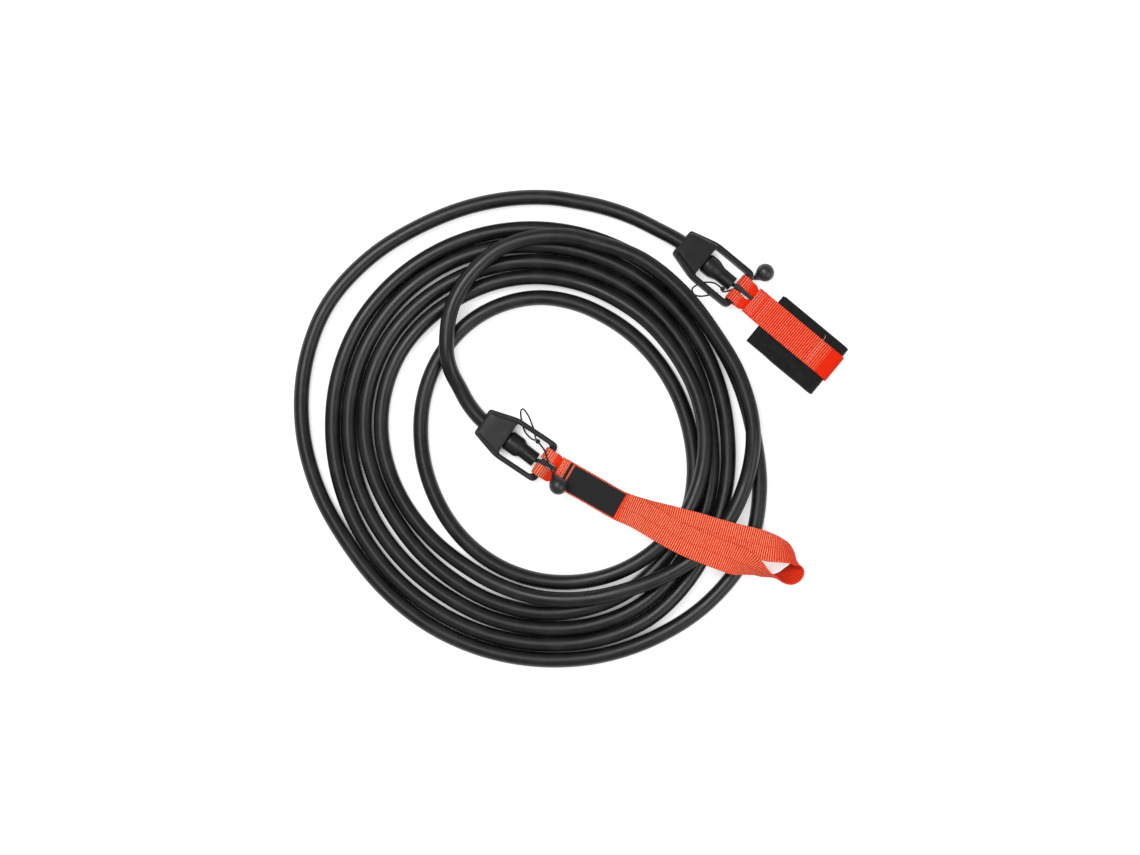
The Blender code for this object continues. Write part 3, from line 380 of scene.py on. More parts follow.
@dataclass
class Surface:
    """One piece made of grids of points, welded where their edges meet."""

    name: str
    grids: list[Array] = field(default_factory=list)
    charts: list[Array] = field(default_factory=list)

    def add(self, grid: Array, chart: Array | None = None) -> "Surface":
        """Take in one grid.

        Args:
            grid: Points by row and column.
            chart: Place of each point on the cloth or skin in metres, the piece's UV map.

        Returns:
            The surface itself.
        """
        chart = grid[..., :2] if chart is None else chart
        self.grids.append(grid)
        self.charts.append(np.broadcast_to(chart, (*grid.shape[:2], 2)))
        return self

    @property
    def length(self) -> float:
        """Length of the first grid's sheet."""
        return float(self.charts[0][..., 0].max())

    def join(self, other: "Surface") -> None:
        """Take in the grids of another surface."""
        self.grids += other.grids
        self.charts += other.charts

    def build(self, material: Material, sharp_deg: float = 50.0) -> Piece:
        """Make the mesh object.

        A grid's faces have the corners (i, j), (i + 1, j), (i + 1, j + 1) and (i, j + 1). Points
        in the same place are merged, so that seams and poles close.

        Args:
            material: Its finish.
            sharp_deg: Angle past which an edge isn't shaded smooth.

        Returns:
            The object, at the origin.
        """
        first, corners = 0, []
        for grid in self.grids:
            rows, columns = grid.shape[:2]
            number = first + np.arange(rows * columns).reshape(rows, columns)
            corners.append(np.stack([number[:-1, :-1], number[1:, :-1], number[1:, 1:],
                                     number[:-1, 1:]], axis=-1).reshape(-1, 4))
            first += rows * columns
        faces = np.concatenate(corners)
        points = np.concatenate([grid.reshape(-1, 3) for grid in self.grids])
        chart = np.concatenate([chart.reshape(-1, 2) for chart in self.charts])
        mesh = bpy.data.meshes.new(self.name)
        mesh.vertices.add(len(points))
        mesh.vertices.foreach_set("co", points.astype(np.float32).ravel())
        mesh.loops.add(faces.size)
        mesh.loops.foreach_set("vertex_index", faces.astype(np.int32).ravel())
        mesh.polygons.add(len(faces))
        mesh.polygons.foreach_set("loop_start", np.arange(0, faces.size, 4, dtype=np.int32))
        mesh.update(calc_edges=True)
        layer = mesh.uv_layers.new(name="chart")
        layer.data.foreach_set("uv", chart[faces.ravel()].astype(np.float32).ravel())
        work = bmesh.new()
        work.from_mesh(mesh)
        bmesh.ops.remove_doubles(work, verts=work.verts, dist=WELD)
        bmesh.ops.recalc_face_normals(work, faces=work.faces)
        work.to_mesh(mesh)
        work.free()
        mesh.polygons.foreach_set("use_smooth", np.ones(len(mesh.polygons), bool))
        mesh.set_sharp_from_angle(angle=math.radians(sharp_deg))
        mesh.materials.append(material)
        piece = bpy.data.objects.new(self.name, mesh)
        bpy.context.scene.collection.objects.link(piece)
        return piece


def carry(centres: Array, sides: Array, ups: Array, profile: Array) -> Array:
    """A profile carried along a path: centre + side * sideways + up * upwards.

    Args:
        centres: Place of each row.
        sides: Sideways direction of each row.
        ups: Upward direction of each row.
        profile: Sideways and upward distance by row and column.

    Returns:
        Points by row and column.
    """
    return (centres[:, None, :] + sides[:, None, :] * profile[..., 0:1]
            + ups[:, None, :] * profile[..., 1:2])


def tube_grid(route: Route, run: Array, radii: Array, sides: int) -> Grid:
    """A round tube along a route: centre + radius (cos a * side + sin a * up).

    The side is level, and up is as near to +Z as the route allows.

    Args:
        route: Middle line.
        run: Distance along it of each row.
        radii: Radius of each row.
        sides: Points in a ring.

    Returns:
        Its grid and its chart.
    """
    heading = route.heading(run)
    across = unit(np.cross([0.0, 0.0, 1.0], heading))
    lift = np.cross(heading, across)
    angle = np.linspace(0.0, 2 * math.pi, sides + 1)
    ring = np.stack([np.cos(angle), np.sin(angle)], axis=-1)
    grid = carry(route.at(run)[:, :3], across, lift, radii[:, None, None] * ring[None])
    grid[:, -1] = grid[:, 0]
    girth = float(np.max(radii))
    chart = np.stack(np.broadcast_arrays(run[:, None], angle[None, :] * girth), axis=-1)
    return grid, chart


def solid_tube(name: str, route: Route, radius: float, step: float, sides: int) -> Surface:
    """A closed tube with rounded ends.

    Args:
        name: Name of the piece.
        route: Middle line.
        radius: Radius of the tube.
        step: Distance between rows.
        sides: Points in a ring.

    Returns:
        The surface.
    """
    end = radius * np.array([0.0, 0.1, 0.4, 1.0])
    body = np.linspace(radius, route.length - radius, max(3, int(route.length / step)))
    run = np.concatenate([end[:-1], body, route.length - end[:-1][::-1]])
    shape = np.sqrt(np.clip(1 - (1 - end[:-1] / radius) ** 2, 0.0, 1.0))
    radii = radius * np.concatenate([shape, np.ones(len(body)), shape[::-1]])
    return Surface(name).add(*tube_grid(route, run, radii, sides))


def rounded_loop(corners: Array, reach: Array, per_corner: int = 6, per_side: int = 5) -> Array:
    """A closed outline with rounded corners.

    A corner c is the curve (1 - t)^2 a + 2 t (1 - t) c + t^2 b, where a and b lie the corner's
    reach before and after it on its sides. A side is a straight line between two such curves.

    Args:
        corners: Corners in order, one a row.
        reach: Reach of each corner.
        per_corner: Points on a corner.
        per_side: Points on a side.

    Returns:
        The outline's points, with the first one repeated at the end.
    """
    before = corners + unit(np.roll(corners, 1, axis=0) - corners) * reach[:, None]
    after = corners + unit(np.roll(corners, -1, axis=0) - corners) * reach[:, None]
    t = np.linspace(0.0, 1.0, per_corner)[None, :, None]
    arcs = ((1 - t) ** 2 * before[:, None] + 2 * t * (1 - t) * corners[:, None]
            + t ** 2 * after[:, None])
    share = np.linspace(0.0, 1.0, per_side + 2)[1:-1][None, :, None]
    lines = after[:, None] * (1 - share) + np.roll(before, -1, axis=0)[:, None] * share
    loop = np.concatenate([arcs, lines], axis=1).reshape(-1, corners.shape[1])
    return np.vstack([loop, loop[:1]])


def turned_grid(profile: Array, steps: int, centre: Array, axis: Array) -> Grid:
    """A turned surface: centre + height * axis + radius (cos a * u + sin a * v).

    Args:
        profile: Radius and height by row.
        steps: Steps of a turn.
        centre: Place of height 0.
        axis: Unit direction of the height.

    Returns:
        Its grid and its chart.
    """
    helper = np.array([0.0, 0.0, 1.0]) if abs(axis[2]) < 0.9 else np.array([1.0, 0.0, 0.0])
    u = unit(np.cross(helper, axis))
    v = np.cross(axis, u)
    angle = np.linspace(0.0, 2 * math.pi, steps + 1)
    ring = np.cos(angle)[:, None] * u + np.sin(angle)[:, None] * v
    ring[-1] = ring[0]
    grid = centre + profile[:, 1, None, None] * axis + profile[:, 0, None, None] * ring[None]
    run = np.concatenate([[0.0], np.cumsum(np.linalg.norm(np.diff(profile, axis=0), axis=1))])
    chart = np.stack(np.broadcast_arrays(run[:, None], angle[None] * profile[:, 0].max()), axis=-1)
    return grid, chart


def dress(piece: Piece, slot: Slot, body: Body, *nodes: str) -> Piece:
    """Name a piece's slot and body, and the CAD nodes that it stands for.

    Args:
        piece: The piece.
        slot: Its material slot.
        body: Body that it rides on.
        nodes: CAD nodes that it stands for, or none if it is an added piece.

    Returns:
        The piece itself.
    """
    if nodes:
        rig.replaces(piece, *nodes)
    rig.ride(piece, body.value)
    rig.slot(piece, slot.value)
    return piece


# Finishes

class Nodes:
    """Node tree of one material, built from its Principled shader backwards."""

    def __init__(self, name: str) -> None:
        """Start an opaque material of that name.

        Args:
            name: The material's name.
        """
        self.material = bpy.data.materials.new(name)
        self.material.use_nodes = True
        self.tree = self.material.node_tree
        self.shader = self.tree.nodes["Principled BSDF"]

    def _feed(self, socket: Socket, value: object) -> None:
        """Link a socket to the input, or set the input's own value.

        Args:
            socket: The input.
            value: Socket, number or colour.
        """
        if isinstance(value, bpy.types.NodeSocket):
            self.tree.links.new(value, socket)
        elif isinstance(value, (tuple, list)) and len(value) == 3 and socket.type == "RGBA":
            socket.default_value = (*value, 1.0)
        else:
            socket.default_value = value

    def node(self, kind: str, inputs: dict[str | int, object], **settings: object
             ) -> bpy.types.Node:
        """Add a node.

        Args:
            kind: Its type.
            inputs: Value or socket of its inputs, by name or number.
            settings: Its own properties.

        Returns:
            The node.
        """
        made = self.tree.nodes.new(kind)
        for name, value in settings.items():
            setattr(made, name, value)
        for key, value in inputs.items():
            self._feed(made.inputs[key], value)
        return made

    def math(self, operation: str, first: object, second: object = 0.0,
             third: object = 0.0) -> Socket:
        """Result of a Math node on up to three values."""
        return self.node("ShaderNodeMath", {0: first, 1: second, 2: third},
                         operation=operation).outputs[0]

    def times(self, *factors: object) -> Socket:
        """Product of values.

        Args:
            factors: Numbers and sockets.

        Returns:
            Their product.
        """
        result, *rest = factors
        for factor in rest:
            result = self.math("MULTIPLY", result, factor)
        return result

    def blend(self, share: object, first: object, second: object) -> Socket:
        """Colour between the first, at share 0, and the second, at share 1."""
        return self.node("ShaderNodeMix", {0: share, 6: first, 7: second},
                         data_type="RGBA").outputs[2]

    def span(self, value: object, low: float, high: float, to_low: float = 0.0,
             to_high: float = 1.0) -> Socket:
        """Value carried from one range to another, held inside it."""
        return self.node("ShaderNodeMapRange", {0: value, 1: low, 2: high, 3: to_low, 4: to_high},
                         interpolation_type="SMOOTHSTEP").outputs[0]

    def chart(self, along: float = 1.0, across: float = 1.0) -> Socket:
        """The piece's own UV map, stretched."""
        uv = self.node("ShaderNodeUVMap", {}, uv_map="chart").outputs[0]
        return self.node("ShaderNodeMapping", {0: uv, 3: (along, across, 1.0)}).outputs[0]

    def sheet(self) -> tuple[Socket, Socket]:
        """Distances along and across the piece's own sheet or skin, in metres."""
        parts = self.node("ShaderNodeSeparateXYZ", {0: self.chart()}).outputs
        return parts[0], parts[1]

    def place(self) -> Socket:
        """Object coordinates."""
        return self.node("ShaderNodeTexCoord", {}).outputs["Object"]

    def noise(self, vector: Socket, scale: float, detail: float = 3.0, rough: float = 0.55
              ) -> Socket:
        """Noise from 0 to 1."""
        return self.node("ShaderNodeTexNoise", {"Vector": vector, "Scale": scale,
                                                "Detail": detail, "Roughness": rough}).outputs[0]

    def bands(self, value: Socket, pitch: float) -> Socket:
        """Cosine bands from 0 to 1: 0.5 + 0.5 cos(2 pi value / pitch)."""
        wave = self.math("COSINE", self.times(value, 2 * math.pi / pitch))
        return self.math("MULTIPLY_ADD", wave, 0.5, 0.5)

    def bump(self, height: Socket, distance: float, strength: float = 1.0,
             below: Socket | None = None) -> Socket:
        """Normal tilted by a height from 0 to 1 that stands for the distance, in metres."""
        under = {} if below is None else {"Normal": below}
        return self.node("ShaderNodeBump", {"Strength": strength, "Distance": distance,
                                            "Height": height, **under}).outputs[0]

    def finish(self, **sockets: object) -> Material:
        """Feed the shader's sockets, with underscores for the spaces of their names."""
        for name, value in sockets.items():
            self._feed(self.shader.inputs[name.replace("_", " ")], value)
        return self.material


@dataclass(frozen=True)
class RubberFinish:
    """Black natural rubber: matt bloom in clouds, faint draw lines along the tube, fine dust."""

    name: str = "rubber_tube"
    dark: Colour = (0.0042, 0.0042, 0.0045)
    bloom: Colour = (0.0135, 0.0135, 0.014)
    dust: Colour = (0.05, 0.05, 0.051)
    cloud_scale: float = 55.0
    dust_scale: float = 640.0
    grain_scale: float = 1500.0
    grain_depth: float = 0.00005
    line_depth: float = 0.00006
    roughness: float = 0.33
    gloss: float = 0.46

    def material(self) -> Material:
        """Make the material.

        Returns:
            The material.
        """
        n = Nodes(self.name)
        here = n.place()
        cloud = n.noise(here, self.cloud_scale, 5.0, 0.6)
        grain = n.noise(here, self.grain_scale, 2.0)
        lines = n.noise(n.chart(14.0, 620.0), 1.0, 3.0, 0.65)
        worn = n.span(cloud, 0.36, 0.72)
        specks = n.span(n.noise(here, self.dust_scale, 2.0, 0.7), 0.68, 0.8)
        colour = n.blend(n.times(specks, 0.45), n.blend(worn, self.dark, self.bloom), self.dust)
        colour = n.blend(n.times(n.span(lines, 0.58, 0.78), 0.22), colour, self.dust)
        normal = n.bump(lines, self.line_depth, 0.45, n.bump(grain, self.grain_depth, 0.5))
        return n.finish(Base_Color=colour, Normal=normal, Specular_IOR_Level=self.gloss,
                        Roughness=n.math("MULTIPLY_ADD", worn, 0.10, self.roughness))


@dataclass(frozen=True)
class MouldedFinish:
    """Black moulded plastic with a fine spark texture, paler along its edges: partly rubbed wear,
    partly a painted highlight.
    """

    name: str = "moulded_black"
    base: Colour = (0.017, 0.017, 0.018)
    wear_and_edge_highlight: Colour = (0.046, 0.046, 0.048)
    grain_scale: float = 2600.0
    grain_depth: float = 0.00011
    roughness: float = 0.42
    gloss: float = 0.27

    def material(self) -> Material:
        """Make the material.

        Returns:
            The material.
        """
        n = Nodes(self.name)
        here = n.place()
        grain = n.noise(here, self.grain_scale, 2.0, 0.6)
        patch = n.noise(here, 120.0, 4.0, 0.6)
        point = n.node("ShaderNodeNewGeometry", {}).outputs["Pointiness"]
        # Painted highlight and wear: sharp edges, found by pointiness, turn paler.
        edge = n.times(n.span(point, 0.515, 0.60), n.span(patch, 0.3, 0.6, 0.35, 1.0), 0.6)
        scuff = n.span(n.noise(n.chart(90.0, 900.0), 1.0, 4.0, 0.7), 0.66, 0.78)
        colour = n.blend(n.times(scuff, 0.16), n.blend(edge, self.base, self.wear_and_edge_highlight), self.wear_and_edge_highlight)
        rough = n.span(patch, 0.25, 0.8, self.roughness - 0.05, self.roughness + 0.09)
        return n.finish(Base_Color=colour, Roughness=rough, Specular_IOR_Level=self.gloss,
                        Normal=n.bump(grain, self.grain_depth, 0.55))


@dataclass(frozen=True)
class BraidFinish:
    """Braided cord: two sets of slanting strands, over and under each other."""

    name: str = "braided_cord"
    dark: Colour = (0.007, 0.007, 0.007)
    light: Colour = (0.034, 0.034, 0.035)
    pitch: float = 1.5 * MM
    depth: float = 0.00022
    roughness: float = 0.62

    def material(self) -> Material:
        """Make the material.

        Returns:
            The material.
        """
        n = Nodes(self.name)
        left, right = (n.bands(n.math(slant, *n.sheet()), self.pitch)
                       for slant in ("ADD", "SUBTRACT"))
        fibre = n.noise(n.chart(900.0, 5000.0), 1.0, 2.0)
        height = n.math("MULTIPLY_ADD", fibre, 0.2, n.math("MAXIMUM", left, right))
        colour = n.blend(n.span(height, 0.35, 1.15), self.dark, self.light)
        rough = n.span(fibre, 0.2, 0.8, self.roughness - 0.08, self.roughness + 0.12)
        return n.finish(Base_Color=colour, Roughness=rough, Sheen_Weight=0.12,
                        Normal=n.bump(height, self.depth, 0.8))


@dataclass(frozen=True)
class WebbingFinish:
    """Ribbed webbing: a pale yarn line on each rib, fine warp yarns along it, uneven dye.

    Each of its fold shades is a stretch of stronger red, painted shade: where it starts, is full,
    fades and ends along the strap, and how strong it is. The painted rib highlights fade over its
    calm stretch and stay weak after.
    """

    name: str = "webbing_orange"
    # Deep red: uneven dye, the middle seam, and painted shade in the rib grooves.
    deep: Colour = (0.66, 0.014, 0.002)
    # Stronger red of the painted shade at folds.
    fold_shade_red: Colour = (0.93, 0.024, 0.001)
    base: Colour = (0.96, 0.062, 0.007)
    # Colour of the painted highlight on each rib.
    pale: Colour = (1.0, 0.58, 0.38)
    rib: float = 2.1 * MM
    yarn: float = 0.85 * MM
    edge: float = 0.76
    depth: float = 0.00035
    roughness: float = 0.62
    seam: float = 0.0
    calm: Span = PAST_THE_END
    fold_shades: tuple[tuple[float, ...], ...] = ()

    def material(self) -> Material:
        """Make the material.

        Returns:
            The material.
        """
        n = Nodes(self.name)
        along, across = n.sheet()
        rib = n.bands(n.math("MULTIPLY_ADD", n.noise(n.chart(60.0, 260.0), 1.0, 2.0), 0.0005,
                             along), self.rib)
        yarn = n.bands(across, self.yarn)
        fibre = n.noise(n.chart(700.0, 2600.0), 1.0, 2.0)
        patch = n.noise(n.chart(), 130.0, 4.0, 0.6)
        # Painted shade: each rib's groove is darkened towards the deep red.
        groove = n.span(rib, 0.0, 0.45, 1.0, 0.0)
        colour = n.blend(n.times(groove, 0.62), self.base, self.deep)
        colour = n.blend(n.span(patch, 0.35, 0.75, 0.0, 0.35), colour, self.deep)
        broken = n.span(n.noise(n.chart(330.0, 1300.0), 1.0, 2.0), 0.32, 0.62, 0.25, 1.0)
        # Painted highlight: a pale line on the crest of each rib, broken up, and faded over the calm stretch.
        line = n.times(n.span(rib, self.edge, 0.95), broken, n.span(along, *self.calm, 1.0, 0.08))
        # Painted shade: each fold shade turns the colour to a stronger red and takes the rib highlights away.
        for first, full, last, end, share in self.fold_shades:
            shade = n.times(n.span(along, first, full, 0.0, share),
                            n.span(along, last, end, 1.0, 0.0))
            colour = n.blend(shade, colour, self.fold_shade_red)
            line = n.times(line, n.math("SUBTRACT", 1.0, shade))
        colour = n.blend(line, colour, self.pale)
        wander = n.math("MULTIPLY_ADD", n.noise(n.chart(260.0, 0.0), 1.0, 2.0), 0.004, -0.002)
        middle = n.math("ABSOLUTE", n.math("ADD", across, wander))
        middle = n.times(n.span(middle, 0.0002, 0.0006, self.seam, 0.0), broken)
        colour = n.blend(middle, colour, self.deep)
        height = n.math("ADD", n.times(rib, 0.7), n.times(yarn, 0.18))
        height = n.math("ADD", height, n.times(fibre, 0.22))
        rough = n.span(fibre, 0.2, 0.8, self.roughness - 0.1, self.roughness + 0.12)
        return n.finish(Base_Color=colour, Roughness=rough, Specular_IOR_Level=0.09,
                        Normal=n.bump(height, self.depth, 0.8))


@dataclass(frozen=True)
class LabelFinish:
    """Black woven label: flat satin floats in a fine grid, a little lint."""

    name: str = "label_weave"
    dark: Colour = (0.006, 0.006, 0.0063)
    light: Colour = (0.020, 0.020, 0.021)
    yarn: float = 0.55 * MM
    depth: float = 0.00016
    roughness: float = 0.6

    def material(self) -> Material:
        """Make the material.

        Returns:
            The material.
        """
        n = Nodes(self.name)
        along, across = n.sheet()
        weave = n.math("ADD", n.times(n.bands(along, self.yarn), 0.55),
                       n.times(n.bands(across, self.yarn * 0.8), 0.45))
        mottle = n.noise(n.chart(), 900.0, 3.0, 0.7)
        height = n.math("MULTIPLY_ADD", mottle, 0.5, weave)
        colour = n.blend(n.span(height, 0.45, 1.2), self.dark, self.light)
        rough = n.span(mottle, 0.25, 0.75, self.roughness - 0.08, self.roughness + 0.14)
        return n.finish(Base_Color=colour, Roughness=rough, Specular_IOR_Level=0.3,
                        Sheen_Weight=0.03, Normal=n.bump(height, self.depth, 0.8))


@dataclass(frozen=True)
class PileFinish:
    """Hook-and-loop tape: a black nap of fine loops, brushed in patches, its edges greyer."""

    name: str = "loop_pile"
    dark: Colour = (0.003, 0.003, 0.003)
    light: Colour = (0.022, 0.022, 0.022)
    rim: Colour = (0.055, 0.055, 0.056)
    half_width: float = 24.5 * MM
    grain_scale: float = 1900.0
    depth: float = 0.0005

    def material(self) -> Material:
        """Make the material.

        Returns:
            The material.
        """
        n = Nodes(self.name)
        here = n.place()
        loops = n.noise(here, self.grain_scale, 3.0, 0.7)
        brushed = n.noise(here, 170.0, 4.0, 0.6)
        height = n.math("ADD", loops, n.times(brushed, 0.5))
        colour = n.blend(n.span(height, 0.55, 1.05), self.dark, self.light)
        edge = n.span(n.math("ABSOLUTE", n.sheet()[1]), self.half_width - 0.9 * MM,
                      self.half_width - 0.2 * MM, 0.0, 0.8)
        colour = n.blend(n.times(edge, n.span(brushed, 0.3, 0.6)), colour, self.rim)
        rough = n.span(loops, 0.2, 0.8, 0.78, 0.95)
        return n.finish(Base_Color=colour, Roughness=rough, Specular_IOR_Level=0.25,
                        Normal=n.bump(height, self.depth, 0.9), Sheen_Weight=0.1)


@dataclass(frozen=True)
class ThreadFinish:
    """Twisted sewing thread."""

    name: str = "sewing_thread"
    base: Colour = (0.96, 0.19, 0.085)
    pale: Colour = (1.0, 0.44, 0.32)
    twist: float = 0.9 * MM

    def material(self) -> Material:
        """Make the material.

        Returns:
            The material.
        """
        n = Nodes(self.name)
        strand = n.bands(n.math("ADD", *n.sheet()), self.twist)
        fuzz = n.noise(n.place(), 900.0, 2.0)
        colour = n.blend(n.times(strand, n.span(fuzz, 0.3, 0.7)), self.base, self.pale)
        return n.finish(Base_Color=colour, Roughness=n.span(fuzz, 0.2, 0.8, 0.45, 0.65),
                        Normal=n.bump(strand, 0.00008, 0.7))


@dataclass(frozen=True)
class StageFinish:
    """White studio floor: diffuse, keeps the shadow, white where open, with painted shade in narrow gaps.

    Far from the object it fades into the white background.
    """

    name: str = "studio_floor"
    colour: Colour = (0.84, 0.84, 0.84)
    lift: float = 0.55
    reach: float = 16.0 * MM
    narrow: Span = (0.1, 0.34)
    far_lift: float = 0.7
    far: Span = (0.8, 3.5)

    def material(self) -> Material:
        """Make the material.

        Returns:
            The material.
        """
        n = Nodes(self.name)
        path = n.node("ShaderNodeLightPath", {}).outputs
        seen = n.math("MAXIMUM", path["Is Camera Ray"], path["Is Glossy Ray"])
        seen = n.math("MAXIMUM", seen, path["Is Transmission Ray"])
        open_sky = n.node("ShaderNodeAmbientOcclusion", {"Distance": self.reach}).outputs["AO"]
        away = n.node("ShaderNodeVectorMath", {0: n.place()}, operation="LENGTH").outputs["Value"]
        # Painted shade: the camera-seen glow is taken away where ambient occlusion finds narrow gaps.
        lift = n.math("ADD", n.span(open_sky, *self.narrow, 0.0, self.lift),
                      n.span(away, *self.far, 0.0, self.far_lift))
        return n.finish(Base_Color=self.colour, Roughness=0.9, Specular_IOR_Level=0.0,
                        Emission_Color=(1.0, 1.0, 1.0),
                        Emission_Strength=n.times(seen, lift))


# Hose and safety cord

@dataclass(frozen=True)
class Layout:
    """Where the connectors stand, and the sizes that several pieces share."""

    a: Place = Place(-149.6 * MM, -11.05 * MM, 9.0 * MM, -33.7, 0.0)
    b: Place = Place(16.25 * MM, 137.9 * MM, 11.36 * MM, -39.7, -10.0)
    crossbar: float = 62.0 * MM
    bar_radius: float = 3.0 * MM
    hose_radius: float = 6.35 * MM
    hose_end: float = 55.3 * MM
    hose_lean: float = -2.4 * MM
    hand_rib: float = 1.82 * MM
    cuff_rib: float = 1.91 * MM
    cord_radius: float = 1.75 * MM
    thread: float = 0.33 * MM
    webbing_width: float = 25.0 * MM
    webbing_thickness: float = 1.6 * MM
    gap: float = 0.3 * MM

    @property
    def ply(self) -> float:
        """Distance between the middles of two plies."""
        return self.webbing_thickness + self.gap

    @property
    def over_two(self) -> float:
        """Height of the top of two plies over their shared middle."""
        return self.ply / 2 + self.webbing_thickness / 2

    @property
    def over_four(self) -> float:
        """Height of the top of four plies over their shared middle."""
        return 1.5 * self.ply + self.webbing_thickness / 2

    @property
    def third(self) -> float:
        """Height of the middle of a ply sewn on two plies."""
        return self.ply / 2 + self.webbing_thickness + self.gap / 2


LAYOUT = Layout()

# Radius of the hose's middle line every 30 degrees. Row 1 starts at 90 degrees, the others at 0.
COIL_RADII_MM: tuple[tuple[float, ...], ...] = (
    (195.8, 198.8, 206.7, 197.9, 185.4, 185.8, 190.0, 196.7, 199.6),
    (177.9, 166.2, 166.4, 169.6, 173.3, 175.8, 173.3, 171.7, 172.5, 176.7, 180.4, 167.6),
    (156.3, 152.8, 153.2, 155.4, 160.8, 162.1, 160.0, 157.1, 157.5, 164.2, 167.1, 154.6),
    (142.1, 139.8, 140.6, 142.2, 145.4, 148.3, 146.7, 141.3, 143.3, 150.8, 151.7, 141.3),
    (125.0, 114.6, 110.8, 112.1, 109.2, 103.3, 99.6, 102.5, 112.1, 123.8, 133.8, 138.8),
    (136.7, 130.0, 127.9, 129.6, 130.8, 134.2, 132.5, 127.9, 127.9, 137.9, 150.0, 170.8),
    (176.7, 166.0, 165.4, 162.0),
)

# Middle line from the coil's outer end to connector B, in the part's frame.
LEAD_MM: tuple[Point, ...] = (
    (-87.6, 174.8, 6.4), (-74.1, 172.6, 6.4), (-50.9, 167.9, 6.7), (-25.2, 159.2, 8.3),
    (-3.8, 148.6, 10.2),
)

# Middle line from the coil's inner end, over the turns, to connector A.
TAIL_MM: tuple[Point, ...] = (
    (-73.1, 141.4, 20.1), (-88.8, 142.4, 20.4), (-105.4, 141.0, 20.4), (-122.1, 136.9, 20.4),
    (-134.6, 131.4, 20.4), (-151.3, 118.1, 20.4), (-165.4, 101.0, 20.4), (-175.0, 80.6, 20.4),
    (-178.3, 60.6, 20.4), (-177.9, 40.6, 19.0), (-174.2, 28.2, 14.6), (-168.0, 16.2, 11.1),
    (-162.2, 5.2, 9.4),
)


